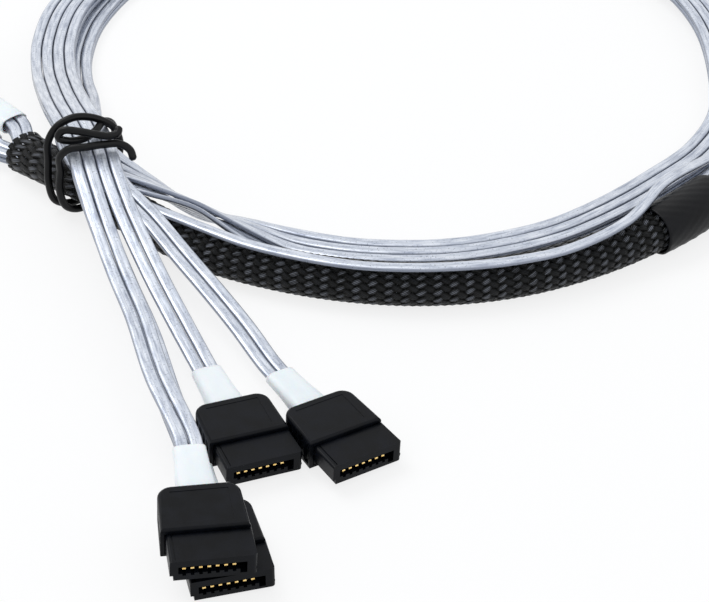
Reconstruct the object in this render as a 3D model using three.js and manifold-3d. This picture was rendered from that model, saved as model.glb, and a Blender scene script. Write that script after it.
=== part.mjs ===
// A mini SAS breakout cable: one board-side plug, eight flat twin leads and four flat data plugs.
// The leads run through a braided sleeve, make two turns, pass under a twist tie and fan out.
// Units are millimetres, +Z is up, and the cable lies on the plane z = 0.
import * as THREE from 'three';
import { mergeVertices } from 'three/addons/utils/BufferGeometryUtils.js';
import Module from 'manifold-3d';

const wasm = await Module();
wasm.setup();

// Flat leads
const leadWidth = 2.1;
const leadThickness = 1.05;
const leadGap = 0.3; // clear space between neighbouring leads
const laneStep = leadWidth + leadGap;
const layerStep = leadThickness + leadGap;
const fit = 0.3; // clearance between a piece and what it seats in

// Braided sleeve and the shrink sleeve that closes it
const braidWidth = 8.3;
const braidHeight = 7.8;
const braidWall = 0.4;
const strandRelief = 0.28; // how far the crossings of the braid stand proud
const braidSides = 20;
const braidSquareness = 2.2; // 2 is an oval section and more is a squarer one
const braidPitch = 7.5; // spacing of the rows of crossings along the braid
const closingWall = 0.4;
const closingOverlap = 16; // how far the closing sleeve reaches back over the braid
const closingNeck = 7; // how far it reaches past the braid's end
const closingShoulder = 2; // length of its step down to the leads
const closingClear = 0.9; // clearance between its neck and the leads
const bundleShrinkWall = 0.35; // wall of the two white sleeves at the board-side plug
const bundleShrinkLength = 24;

// Data plug: housing
const housingWidth = 13.3;
const housingHeight = 3.8;
const housingDepth = 6; // from the mating face to the hood
const housingLift = 0.75; // height of the housing's underside over the hood's underside
const housingOffset = 0.65; // the housing's middle is this far from the contact row's middle
const housingStub = 1.2; // the part of the housing that seats in the hood
const slotDepth = 5;
const slotHeight = 1.35;
const slotFloor = 1.25; // wall under the slot
const slotStart = -4.7; // ends of the slot, from the contact row's middle
const slotEnd = 5.75;
const keyWidth = 1.05; // the short leg of the L
const keyDrop = 0.8;
const notchWidth = 0.55;
const notchDrop = 0.4;
const cornerCut = 0.5;

// Data plug: contacts
const contactCount = 7;
const contactPitch = 1.27;
const contactWidth = 0.5;
const contactThickness = 0.22;
const contactSetback = 0.5; // from the mating face to the contact's tip
const contactCrown = 1.2; // from the tip to the lowest point of the spring
const contactBow = 0.3; // how far the spring bows down

// Data plug: hood
const hoodFrontWidth = 13.9;
const hoodBackWidth = 12.9;
const hoodLength = 10.1;
const hoodHeight = 5.5;
const hoodOffset = 0.15;
const hoodEdge = 0.45; // rounded edge round the hood's top and bottom
const hoodCorner = 2.2; // radius of the hood's back corners
const gripRibs = 5;
const gripDepth = 0.35;
const entryDepth = 1.6; // pocket at the back where the white sleeve seats

// Data plug: white sleeve
const sleeveWall = 0.3;
const flatSides = 14; // sides of a shrunk sleeve's section
const flatSquareness = 3.2;
const sleeveLength = 12.5;
const sleeveFlare = 0.45; // how much wider each side is at the hood
const sleeveClear = 0.2; // clearance between the sleeve and the leads at their sides
const sleeveRoom = 0.35; // the same above and below them

// Board-side plug
const noseWidth = 20.4;
const noseHeight = 6.8;
const noseLength = 11;
const noseWall = 1.1;
const noseCavity = 9;
const noseStub = 2;
const noseEdge = 0.6;
const cardThickness = 1;
const cardSetback = 1.2;
const padCount = 18; // pads on each side of the card
const padPitch = 0.8;
const padWidth = 0.45;
const padThickness = 0.1;
const padLength = 4.6;
const bodyWidth = 22.4;
const bodyHeight = 9.2;
const bodyLength = 22;
const bodyShoulder = 14; // where the body starts to narrow, from its front
const bodyTailWidth = 16.4;
const bodyTailHeight = 8.6;
const bodyEdge = 1.2;
const bodyEntryDepth = 3; // pocket at the back where the white sleeves and the leads enter
const latchWidth = 9;
const latchThickness = 0.5;
const latchFoot = 2; // flat stretch of the strip on the body's front
const latchBack = 1; // how far in front of the body the strip bends up
const latchRise = 1.9;
const latchReach = 8; // how far the latch's hooks reach over the nose
const latchTail = 14; // length of the strip over the body
const hookWidth = 1.6;
const hookHeight = 0.9;

// Twist tie
const tieDiameter = 1.5;
const tieSides = 8;
const tieSteps = 58;
const tiePlace = { x: -52, y: 31, turn: 30 }; // middle of the tie and the turn of its loop's width

// Where each plug lies: contact row's middle at the mating face, and its turn and lean in degrees.
const plugPlaces = [
  { x: -21.9, y: -78.4, turn: 10.5, lean: 3 },
  { x: -19.2, y: -75.8, turn: 14.5, lean: 0 },
  { x: -15.4, y: -49.8, turn: 22.5, lean: 3 },
  { x: 1.5, y: -48.6, turn: 32.5, lean: 3 },
];

// A station of the shared route is [x, y, z, spread, stagger, bank].
// x, y and z are the bundle's middle, spread is half the sideways distance between the two pairs of
// columns in lanes, stagger half their distance in height in layers, and bank the bundle's tilt.
const sharedRoute = [
  [-87.4, 69.2, 4.6, 1.32, 0, 0],
  [-80, 60.6, 4.5, 1.32, 0.4, 0],
  [-70.6, 49.6, 4.3, 1.28, 0.95, 0],
  [-65.2, 43.4, 4.1, 0.02, 1, 0],
  [-59.8, 37.8, 4.9, 0, 1, 0],
  [-52.3, 30.6, 5.95, 0, 1, 0],
  [-41.8, 20.8, 4.9, 0, 1, 0],
  [-29, 11.6, 3.95, 0, 1, 0],
  [-15, 4.9, 3.95, 0, 1, 0],
  [0, 0.9, 3.95, 0, 1, 0],
  [15, 0, 3.95, 0, 1, 0],
  [30, 2.6, 3.95, 0, 1, 0],
  [45, 8.8, 4.2, 0, 1, 0],
  [58, 17, 4.75, 0, 1, 0],
  [67.5, 25.6, 4.8, 0, 1, 0],
  [75, 34.4, 4.6, 0, 1, 0],
  [81, 43.5, 4.1, 0.55, 1, 0],
  [86.2, 54.5, 3.4, 1, 1, 0],
  [89.4, 67, 2.2, 1, 0.5, 0],
  [90.5, 84, 1.35, 1, 0, 0],
  [88, 105, 1.35, 1, 0, 0],
  [78.5, 126, 1.35, 1, 0, 0],
  [60, 143, 1.35, 1, 0, 0],
  [37, 151.5, 1.35, 1, 0, 0],
  [12, 154, 1.35, 1, 0, 0],
  [-13, 150.5, 1.35, 1, 0, 0],
  [-36, 139.5, 1.35, 1, 0, 0],
  [-52, 123, 1.35, 1, 0, 0],
  [-60, 104, 1.35, 1, 0, 0],
  [-61.8, 88, 1.35, 1, 0, 0],
  [-60.3, 74, 2.4, 1, 0, 0],
  [-57.4, 61, 5.3, 1, 0, 0],
  [-55.4, 49, 8.8, 1, 0, 0],
  [-53.6, 37.8, 11.2, 1, 0, 0],
  [-48.6, 28.6, 11.4, 1, 0, 0],
  [-38.8, 23.6, 9.3, 1, 0, -30],
  [-30, 21, 6.2, 1, 0, -48],
  [-21, 18.6, 3.3, 1, 0, -24],
  [-11.4, 15, 1.5, 1, 0, 0],
  [-1.3, 12.4, 1.35, 1, 0, 0],
  [8.5, 11.5, 1.35, 1, 0, 0],
  [18.5, 12, 1.35, 1, 0, 0],
  [29.1, 14.6, 1.35, 1, 0, 0],
  [39.4, 19, 1.35, 1, 0, 0],
  [50, 26.4, 1.35, 1, 0, 0],
  [61, 36.4, 1.35, 1, 0, 0],
  [71, 47.4, 1.3, 1, 0, 0],
  [78, 61, 1.8, 1, 0, 0],
  [80.2, 78, 3.2, 1, 0, 0],
  [79, 98, 4.15, 1, 0, 0],
  [72, 118, 4.15, 1, 0, 0],
  [56, 136.5, 4.15, 1, 0, 0],
  [35, 147, 4.15, 1, 0, 0],
  [12, 150.5, 4.15, 1, 0, 0],
  [-14, 148.5, 4.15, 1, 0, 0],
  [-38, 138.5, 4.15, 1, 0, 0],
  [-55.4, 122, 4.15, 1, 0, 0],
  [-63.6, 104, 4.15, 1, 0, 0],
  [-65.2, 88, 4.15, 1, 0, 0],
  [-63.6, 74, 5.2, 1, 0, 0],
  [-60.6, 61, 8.1, 1, 0, 0],
  [-57.4, 49, 11.6, 1, 0, 0],
  [-53.8, 38.3, 13.95, 1, 0, 0],
  [-50, 28, 14.2, 1, 0, 0],
];

// One lead leaves its pack after the tie and runs along the braid's crest: [x, y, z] in place of stations.
const crestStart = 34;
const crestRun = [
  [-52.2, 25, 11.9],
  [-41, 18.2, 9.9],
  [-29.4, 11.6, 8.95],
  [-19.6, 5.8, 8.75],
  [-10, 2, 8.7],
  [-0.6, -0.6, 8.7],
  [8.4, -1.5, 8.7],
  [18, -1.2, 8.7],
  [28.6, 0.5, 8.7],
  [39.6, 4.4, 8.75],
  [50.8, 12.2, 9.5],
  [59, 24.6, 9.6],
  [71, 39.5, 6.6],
];

// From the tie each pair of leads runs to its own plug: side and tier give its place in the pack.
const pairs = [
  {
    side: -1,
    tier: 0.5,
    fan: [[-50.4, 20, 14.9], [-46.8, 9.4, 11.6], [-42.2, -4.2, 9.8], [-37.8, -16.6, 9.2], [-33.1, -32.7, 9]],
  },
  {
    side: -1,
    tier: -0.5,
    fan: [[-50.4, 20, 13.3], [-46.4, 9, 9.8], [-41.3, -4.6, 7.4], [-36.4, -17, 5.7], [-31.4, -33, 4.2]],
  },
  {
    side: 1,
    tier: 0.5,
    fan: [[-45.6, 20.6, 14.5], [-42.5, 12.2, 12], [-39, 4.1, 9.6], [-35.3, -4.3, 7.6], [-31.2, -12.9, 5.6]],
  },
  {
    side: 1,
    tier: -0.5,
    fan: [[-45, 20.4, 13], [-37.8, 12.2, 10.1], [-31.6, 4, 7.5], [-25.6, -4.4, 5.6], [-20, -13.2, 4.3]],
  },
];

// The tie's wire from end to end: [across the bundle, along it toward the data plugs, up] from its place.
const tieRoute = [
  [11.4, 4.8, 13.8],
  [8.8, 3.4, 15.9],
  [5.2, 2.6, 16.8],
  [0, 2.6, 16.9],
  [-3.6, 2.3, 16.6],
  [-5.5, 1.9, 14.8],
  [-5.7, 1.5, 11],
  [-6.2, 1.2, 6.5],
  [-5.2, 1, 2.4],
  [-3, 0.8, 0.85],
  [0, 0.6, 0.8],
  [3, 0.4, 1],
  [5, 0.2, 4],
  [6.6, 0, 8],
  [7.6, -0.2, 12],
  [6.8, -0.6, 15.6],
  [4.9, -1.2, 17.4],
  [2.4, -2.2, 18.5],
  [-0.6, -2.7, 19],
  [-3.8, -2.9, 18],
  [-6, -2.9, 15.2],
  [-6.5, -2.7, 11],
  [-7, -2.3, 6.5],
  [-6.2, -2.1, 2.4],
  [-3.8, -2, 0.85],
  [-0.6, -1.9, 0.8],
  [2.4, -2, 1],
  [4.6, -2.2, 4],
  [6.7, -2.5, 8],
  [7.9, -2.7, 12],
  [7.3, -2.9, 15.2],
  [5.2, -2.6, 16.7],
  [2.4, -0.9, 16.8],
  [-0.6, 0.2, 16.8],
  [-3.4, 0.1, 17],
  [-5.2, -0.2, 18],
  [-4.4, -0.6, 19.4],
  [-2, 0, 19.2],
  [2, 0.8, 18.8],
  [6, 0, 18.4],
  [9, -1.4, 18.2],
  [10.2, -3, 19],
];

const group = new THREE.Group();

const finish = {
  black: { color: 0x14161b, roughness: 0.5, metalness: 0 },
  rubber: { color: 0x101114, roughness: 0.45, metalness: 0 },
  braid: { color: 0x15171b, roughness: 0.4, metalness: 0 },
  shrinkBlack: { color: 0x0f1114, roughness: 0.6, metalness: 0 },
  shrinkWhite: { color: 0xe9f0f3, roughness: 0.45, metalness: 0 },
  lead: { color: 0xc3c9d8, roughness: 0.3, metalness: 0.35 },
  gold: { color: 0xd9b35c, roughness: 0.3, metalness: 1 },
  steel: { color: 0xb9bcc0, roughness: 0.35, metalness: 1 },
  card: { color: 0x1f5a3a, roughness: 0.55, metalness: 0 },
};

function addMesh(parent, name, geometry, look) {
  const mesh = new THREE.Mesh(geometry, new THREE.MeshStandardMaterial(look));
  mesh.name = name;
  parent.add(mesh);
  return mesh;
}

function toSolid(geometry) {
  const bare = geometry.clone();
  bare.deleteAttribute('normal');
  bare.deleteAttribute('uv');
  const merged = mergeVertices(bare, 1e-4);
  const indices = merged.index.array;
  return new wasm.Manifold(new wasm.Mesh({
    numProp: 3,
    vertProperties: new Float32Array(merged.attributes.position.array),
    triVerts: new Uint32Array(indices),
  }));
}

function toGeometry(solid) {
  const mesh = solid.getMesh();
  const geometry = new THREE.BufferGeometry();
  geometry.setAttribute('position', new THREE.BufferAttribute(new Float32Array(mesh.vertProperties), 3));
  geometry.setIndex(new THREE.BufferAttribute(new Uint32Array(mesh.triVerts), 1));
  return geometry;
}

// A box from its lowest corner to its highest one.
function boxBetween(low, high) {
  const size = high.map((value, axis) => value - low[axis]);
  const box = new THREE.BoxGeometry(size[0], size[1], size[2]);
  box.translate(low[0] + size[0] / 2, low[1] + size[1] / 2, low[2] + size[2] / 2);
  return box;
}

// A profile in x and z, extruded along y from one depth to another.
function extrudeAlongY(shape, from, to) {
  const geometry = new THREE.ExtrudeGeometry(shape, { depth: to - from, bevelEnabled: false, curveSegments: 4 });
  geometry.rotateX(Math.PI / 2);
  geometry.translate(0, to, 0);
  return geometry;
}

// Turns a profile drawn in y and z, extruded from zero, to stand across x with its middle at a given x.
function sideProfileMatrix(middle, width) {
  return new THREE.Matrix4().set(
    0, 0, 1, middle - width / 2,
    1, 0, 0, 0,
    0, 1, 0, 0,
    0, 0, 0, 1,
  );
}

// A ring of points on a rounded section: half sizes along the section's two axes.
function sectionRing(frame, halfWidth, halfHeight, sides, squareness, relief = () => 0) {
  const points = [];
  for (let side = 0; side < sides; side += 1) {
    const angle = (side / sides) * 2 * Math.PI;
    const across = Math.cos(angle);
    const up = Math.sin(angle);
    const power = 2 / squareness;
    const x = (halfWidth + relief(side)) * Math.sign(across) * Math.abs(across) ** power;
    const y = (halfHeight + relief(side)) * Math.sign(up) * Math.abs(up) ** power;
    points.push(frame.middle.clone().addScaledVector(frame.across, x).addScaledVector(frame.up, y));
  }
  return points;
}

// A closed skin through rings that follow one another round the wall of a hollow piece.
function skinThroughRings(rings) {
  const positions = [];
  const sides = rings[0].length;
  for (let index = 0; index < rings.length; index += 1) {
    const here = rings[index];
    const next = rings[(index + 1) % rings.length];
    for (let side = 0; side < sides; side += 1) {
      const after = (side + 1) % sides;
      const corners = [here[side], here[after], next[after], here[side], next[after], next[side]];
      corners.forEach((corner) => positions.push(corner.x, corner.y, corner.z));
    }
  }
  const geometry = new THREE.BufferGeometry();
  geometry.setAttribute('position', new THREE.Float32BufferAttribute(positions, 3));
  return geometry;
}

// A lead's path: the points and the flat side's direction both follow the stations one by one.
class FlatPath extends THREE.Curve {
  constructor(points, acrosses) {
    super();
    this.spline = new THREE.CatmullRomCurve3(points);
    this.acrosses = acrosses;
  }

  getPoint(t, target = new THREE.Vector3()) {
    return this.spline.getPoint(t, target);
  }

  getSpacedPoints(divisions) {
    return this.spline.getPoints(divisions);
  }

  frameAt(t) {
    const place = t * (this.acrosses.length - 1);
    const index = Math.min(Math.floor(place), this.acrosses.length - 2);
    const across = this.acrosses[index].clone().lerp(this.acrosses[index + 1], place - index);
    const along = this.spline.getTangent(t);
    across.addScaledVector(along, -across.dot(along)).normalize();
    return { middle: this.spline.getPoint(t), along, across, up: along.clone().cross(across) };
  }

  computeFrenetFrames(segments) {
    const frames = { tangents: [], normals: [], binormals: [] };
    for (let step = 0; step <= segments; step += 1) {
      const frame = this.frameAt(step / segments);
      frames.tangents.push(frame.along);
      frames.normals.push(frame.across);
      frames.binormals.push(frame.up);
    }
    return frames;
  }
}

// The flat section of a lead, with two flat sides and two rounded edges.
function leadSection() {
  const half = leadWidth / 2;
  const flat = half - leadThickness / 3;
  const rise = leadThickness / 2;
  return new THREE.Shape([
    new THREE.Vector2(half, 0),
    new THREE.Vector2(flat, rise),
    new THREE.Vector2(-flat, rise),
    new THREE.Vector2(-half, 0),
    new THREE.Vector2(-flat, -rise),
    new THREE.Vector2(flat, -rise),
  ]);
}

// The frame at one station of a list of points: along the route, across it to its left, and up.
function stationFrames(points, banks) {
  return points.map((middle, index) => {
    const before = points[Math.max(index - 1, 0)];
    const after = points[Math.min(index + 1, points.length - 1)];
    const along = after.clone().sub(before).normalize();
    const across = new THREE.Vector3(-along.y, along.x, 0).normalize();
    across.applyAxisAngle(along, THREE.MathUtils.degToRad(banks[index]));
    return { middle, along, across, up: along.clone().cross(across) };
  });
}

function offsetInFrame(frame, across, up) {
  return frame.middle.clone().addScaledVector(frame.across, across).addScaledVector(frame.up, up);
}

const sharedPoints = sharedRoute.map(([x, y, z]) => new THREE.Vector3(x, y, z));
const sharedFrames = stationFrames(sharedPoints, sharedRoute.map((station) => station[5]));

const sleeveBack = housingDepth + hoodLength - entryDepth + fit;
const sleeveTop = sleeveBack + sleeveLength;
const leadHeight = hoodHeight / 2;
const leadReach = 3; // a lead runs straight this far before and behind the mouth of its white sleeve

// The frame of a data plug, turned and leaned as it lies.
function plugGroup(place, height) {
  const plug = new THREE.Group();
  plug.rotation.order = 'ZYX';
  plug.rotation.set(0, THREE.MathUtils.degToRad(place.lean), THREE.MathUtils.degToRad(place.turn));
  plug.position.set(place.x, place.y, height);
  plug.updateMatrixWorld(true);
  return plug;
}

// A plug that leans rests on the lower edge of its hood, and the first plug lies on the second one.
function restHeight(place, index) {
  const lift = (hoodFrontWidth / 2 + hoodOffset) * Math.sin(THREE.MathUtils.degToRad(place.lean));
  return index === 0 ? hoodHeight + fit + lift : lift;
}

const plugGroups = plugPlaces.map((place, index) => plugGroup(place, restHeight(place, index)));

// One lead of a pair, from the board-side plug to its data plug.
function leadPath(pair, plug, column) {
  const laneInPair = column - 0.5;
  const points = [];
  const acrosses = [];
  sharedRoute.forEach(([, , , spread, stagger], index) => {
    const frame = sharedFrames[index];
    const lane = pair.side * spread + laneInPair;
    const layer = pair.side * stagger + pair.tier;
    const crest = index - crestStart;
    const onCrest = pair.side < 0 && pair.tier > 0 && column === 0 && crest >= 0 && crest < crestRun.length;
    points.push(onCrest
      ? new THREE.Vector3(...crestRun[crest])
      : offsetInFrame(frame, lane * laneStep, layer * layerStep));
    acrosses.push(onCrest ? new THREE.Vector3(-frame.along.y, frame.along.x, 0).normalize() : frame.across);
  });
  const fan = pair.fan.map(([x, y, z]) => new THREE.Vector3(x, y, z));
  const entry = [sleeveTop + leadReach, sleeveTop - leadReach, sleeveBack + fit / 3].map((distance) => (
    new THREE.Vector3(hoodOffset, distance, leadHeight).applyMatrix4(plug.matrixWorld)
  ));
  const sideways = new THREE.Vector3(1, 0, 0).transformDirection(plug.matrixWorld);
  const tail = [...fan, ...entry];
  const frames = stationFrames(tail, tail.map(() => 0));
  frames.forEach((frame, index) => {
    const across = index < fan.length ? frame.across : sideways;
    points.push(frame.middle.clone().addScaledVector(across, laneInPair * laneStep));
    acrosses.push(across);
  });
  return new FlatPath(points, acrosses);
}

function addLead(pair, plug, number, column) {
  const path = leadPath(pair, plug, column);
  const tube = new THREE.ExtrudeGeometry(leadSection(), { steps: path.acrosses.length - 1, extrudePath: path });
  addMesh(group, `lead_${number}_${column === 0 ? 'a' : 'b'}`, tube, finish.lead);
}

// The L-shaped slot with its notches, as an outline in x and z.
function slotOutline() {
  const floor = housingLift + slotFloor;
  const top = floor + slotHeight;
  const outline = [[slotStart, top], [slotStart, floor]];
  const firstContact = (-(contactCount - 1) / 2) * contactPitch;
  for (let index = 0; index < contactCount; index += 1) {
    const middle = firstContact + index * contactPitch;
    outline.push([middle - notchWidth / 2, floor]);
    outline.push([middle - notchWidth / 2, floor - notchDrop]);
    outline.push([middle + notchWidth / 2, floor - notchDrop]);
    outline.push([middle + notchWidth / 2, floor]);
  }
  outline.push([slotEnd - keyWidth, floor], [slotEnd - keyWidth, floor - keyDrop]);
  outline.push([slotEnd, floor - keyDrop], [slotEnd, top]);
  return outline.map(([x, z]) => new THREE.Vector2(x, z));
}

// The housing's outline, with one lower corner cut away and grooves down both sides.
function housingOutline(grow) {
  const left = housingOffset - housingWidth / 2 - grow;
  const right = housingOffset + housingWidth / 2 + grow;
  const bottom = housingLift - grow;
  const top = housingLift + housingHeight + grow;
  return [
    [left + cornerCut, bottom],
    [right - cornerCut / 2, bottom],
    [right, bottom + cornerCut / 2],
    [right, top - cornerCut / 2],
    [right - cornerCut / 2, top],
    [left + cornerCut / 2, top],
    [left, top - cornerCut / 2],
    [left, bottom + cornerCut * 2],
    [left + cornerCut, bottom + cornerCut * 2],
  ].map(([x, z]) => new THREE.Vector2(x, z));
}

function housingGeometry() {
  const front = new THREE.Shape(housingOutline(0));
  front.holes.push(new THREE.Path(slotOutline()));
  const body = toSolid(extrudeAlongY(front, 0, slotDepth));
  const back = toSolid(extrudeAlongY(new THREE.Shape(housingOutline(0)), slotDepth, housingDepth + housingStub));
  return toGeometry(body.add(back));
}

// A contact is a thin spring that bows down into the slot from the slot's back wall.
function contactGeometry(index) {
  const top = housingLift + slotFloor + slotHeight - fit;
  const tip = contactSetback;
  const root = slotDepth - fit;
  const crown = tip + contactCrown;
  const profile = new THREE.Shape([
    new THREE.Vector2(tip, top - contactThickness),
    new THREE.Vector2(crown, top - contactThickness - contactBow),
    new THREE.Vector2(root, top - contactThickness),
    new THREE.Vector2(root, top),
    new THREE.Vector2(crown, top - contactBow),
    new THREE.Vector2(tip, top),
  ]);
  const spring = new THREE.ExtrudeGeometry(profile, { depth: contactWidth, bevelEnabled: false });
  return spring.applyMatrix4(sideProfileMatrix((index - (contactCount - 1) / 2) * contactPitch, contactWidth));
}

// The hood's outline from above: ribbed grip sides that narrow to rounded back corners.
function hoodOutline() {
  const shape = new THREE.Shape();
  const front = housingDepth + hoodEdge;
  const back = housingDepth + hoodLength - hoodEdge;
  const frontHalf = hoodFrontWidth / 2 - hoodEdge;
  const backHalf = hoodBackWidth / 2 - hoodEdge;
  const sideLength = back - hoodCorner - front;
  const ribLength = sideLength / gripRibs;
  const halfAt = (y) => frontHalf + ((backHalf - frontHalf) * (y - front)) / sideLength;
  shape.moveTo(hoodOffset - frontHalf, front);
  shape.lineTo(hoodOffset + frontHalf, front);
  for (let rib = 0; rib < gripRibs; rib += 1) {
    const start = front + rib * ribLength;
    shape.lineTo(hoodOffset + halfAt(start + ribLength * 0.6), start + ribLength * 0.6);
    shape.lineTo(hoodOffset + halfAt(start + ribLength * 0.8) - gripDepth, start + ribLength * 0.8);
    shape.lineTo(hoodOffset + halfAt(start + ribLength), start + ribLength);
  }
  shape.quadraticCurveTo(hoodOffset + backHalf, back, hoodOffset + backHalf - hoodCorner, back);
  shape.lineTo(hoodOffset - backHalf + hoodCorner, back);
  shape.quadraticCurveTo(hoodOffset - backHalf, back, hoodOffset - backHalf, back - hoodCorner);
  for (let rib = gripRibs - 1; rib >= 0; rib -= 1) {
    const start = front + rib * ribLength;
    shape.lineTo(hoodOffset - halfAt(start + ribLength * 0.8) + gripDepth, start + ribLength * 0.8);
    shape.lineTo(hoodOffset - halfAt(start + ribLength * 0.6), start + ribLength * 0.6);
    if (rib > 0) shape.lineTo(hoodOffset - halfAt(start), start);
  }
  return shape;
}

const sleeveHalf = laneStep / 2 + leadWidth / 2 + sleeveClear + sleeveWall;
const sleeveRise = leadThickness / 2 + sleeveRoom + sleeveWall;

function hoodGeometry() {
  const block = new THREE.ExtrudeGeometry(hoodOutline(), {
    depth: hoodHeight - 2 * hoodEdge,
    bevelEnabled: true,
    bevelThickness: hoodEdge,
    bevelSize: hoodEdge,
    bevelSegments: 1,
    curveSegments: 3,
  });
  block.translate(0, 0, hoodEdge);
  const seat = new THREE.Shape(housingOutline(fit));
  const pocket = extrudeAlongY(seat, housingDepth - 1, housingDepth + housingStub + fit);
  const wide = sleeveHalf + sleeveFlare + fit;
  const high = sleeveRise + sleeveFlare + fit;
  const entry = boxBetween(
    [hoodOffset - wide, housingDepth + hoodLength - entryDepth, leadHeight - high],
    [hoodOffset + wide, housingDepth + hoodLength + 1, leadHeight + high],
  );
  return toGeometry(toSolid(block).subtract(toSolid(pocket)).subtract(toSolid(entry)));
}

// The white sleeve: a flat tube that widens toward the hood.
function sleeveGeometry() {
  const spots = [
    { at: 0, flare: 0 },
    { at: 0.35, flare: 0.25 },
    { at: 0.8, flare: 1 },
    { at: 1, flare: 1 },
  ];
  const ring = (spot, inset) => sectionRing(
    {
      middle: new THREE.Vector3(hoodOffset, sleeveTop - spot.at * sleeveLength, leadHeight),
      across: new THREE.Vector3(1, 0, 0),
      up: new THREE.Vector3(0, 0, 1),
    },
    sleeveHalf + spot.flare * sleeveFlare - inset,
    sleeveRise + spot.flare * sleeveFlare - inset,
    flatSides,
    flatSquareness,
  );
  const outer = spots.map((spot) => ring(spot, 0));
  const inner = spots.map((spot) => ring(spot, sleeveWall)).reverse();
  return skinThroughRings([...outer, ...inner]);
}

function addDataPlug(plug, number) {
  addMesh(plug, `data_plug_${number}_housing`, housingGeometry(), finish.black);
  for (let index = 0; index < contactCount; index += 1) {
    addMesh(plug, `data_plug_${number}_contact_${index + 1}`, contactGeometry(index), finish.gold);
  }
  addMesh(plug, `data_plug_${number}_hood`, hoodGeometry(), finish.black);
  addMesh(plug, `data_plug_${number}_sleeve`, sleeveGeometry(), finish.shrinkWhite);
  group.add(plug);
}

plugGroups.forEach((plug, index) => {
  addDataPlug(plug, index + 1);
  addLead(pairs[index], plug, index + 1, 0);
  addLead(pairs[index], plug, index + 1, 1);
});

// The route of the braid's middle, by station number of the shared route.
const bundlePath = new FlatPath(sharedPoints, sharedFrames.map((frame) => frame.across));
const stationCount = sharedPoints.length - 1;
const braidStart = 2.85;
const braidEnd = 14.1;

function frameAtStation(station) {
  return bundlePath.frameAt(station / stationCount);
}

// The station that lies a given distance further along the route.
function stationAfter(station, distance) {
  const step = 0.02 * Math.sign(distance);
  let left = Math.abs(distance);
  let here = station;
  while (left > 0) {
    const from = frameAtStation(here).middle;
    here += step;
    left -= from.distanceTo(frameAtStation(here).middle);
  }
  return here;
}

function stationsBetween(from, to, spacing) {
  const stations = [from];
  while (stations.at(-1) < to) stations.push(stationAfter(stations.at(-1), spacing));
  stations[stations.length - 1] = to;
  return stations;
}

// A hollow piece along the bundle, from the functions that give its outer and inner ring at a station.
function hollowAlong(stations, outerRing, innerRing) {
  return skinThroughRings([...stations.map(outerRing), ...stations.map(innerRing).reverse()]);
}

function braidGeometry() {
  const stations = stationsBetween(braidStart, braidEnd, braidPitch);
  const halfWidth = braidWidth / 2 - strandRelief / 2;
  const halfHeight = braidHeight / 2 - strandRelief / 2;
  const outer = (station, row) => sectionRing(
    frameAtStation(station),
    halfWidth,
    halfHeight,
    braidSides,
    braidSquareness,
    (side) => ((side + row) % 2 === 0 ? strandRelief / 2 : -strandRelief / 2),
  );
  const inner = (station) => sectionRing(
    frameAtStation(station),
    halfWidth - braidWall,
    halfHeight - braidWall,
    braidSides,
    braidSquareness,
  );
  return hollowAlong(stations, outer, inner);
}

addMesh(group, 'braided_sleeve', braidGeometry(), finish.braid);

// The closing sleeve grips the braid's end and steps down to the leads.
function closingGeometry() {
  const start = stationAfter(braidEnd, -closingOverlap);
  const end = stationAfter(braidEnd, closingNeck);
  const step = stationAfter(braidEnd, closingShoulder / 2);
  const waist = stationAfter(step, closingShoulder);
  const stations = [...stationsBetween(start, braidEnd, closingOverlap / 3), step, waist, end];
  const towerHalfWidth = laneStep / 2 + leadWidth / 2;
  const towerHalfHeight = 1.5 * layerStep + leadThickness / 2;
  const sizeAt = (station) => {
    if (station <= step) {
      return [braidWidth / 2 + fit + closingWall, braidHeight / 2 + fit + closingWall, braidSquareness];
    }
    return [towerHalfWidth + closingClear + closingWall, towerHalfHeight + closingClear + closingWall, flatSquareness];
  };
  const ring = (station, inset) => {
    const [halfWidth, halfHeight, squareness] = sizeAt(station);
    return sectionRing(frameAtStation(station), halfWidth - inset, halfHeight - inset, flatSides, squareness);
  };
  return hollowAlong(stations, (station) => ring(station, 0), (station) => ring(station, closingWall));
}

addMesh(group, 'braid_closing_sleeve', closingGeometry(), finish.shrinkBlack);

// Two white sleeves, each over the four leads of one side.
function bundleShrinkGeometry(side) {
  const start = stationAfter(0, 0.4);
  const end = stationAfter(start, bundleShrinkLength);
  const stations = stationsBetween(start, end, bundleShrinkLength / 4);
  const halfWidth = laneStep / 2 + leadWidth / 2 + fit * 1.2 + bundleShrinkWall;
  const halfHeight = layerStep / 2 + leadThickness / 2 + fit + bundleShrinkWall;
  const ring = (station, inset) => {
    const frame = frameAtStation(station);
    const index = Math.floor(station);
    const share = station - index;
    const spread = THREE.MathUtils.lerp(sharedRoute[index][3], sharedRoute[index + 1][3], share);
    const stagger = THREE.MathUtils.lerp(sharedRoute[index][4], sharedRoute[index + 1][4], share);
    const middle = offsetInFrame(frame, side * spread * laneStep, side * stagger * layerStep);
    return sectionRing({ ...frame, middle }, halfWidth - inset, halfHeight - inset, flatSides, flatSquareness);
  };
  return hollowAlong(stations, (station) => ring(station, 0), (station) => ring(station, bundleShrinkWall));
}

addMesh(group, 'bundle_sleeve_left', bundleShrinkGeometry(1), finish.shrinkWhite);
addMesh(group, 'bundle_sleeve_right', bundleShrinkGeometry(-1), finish.shrinkWhite);

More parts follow.
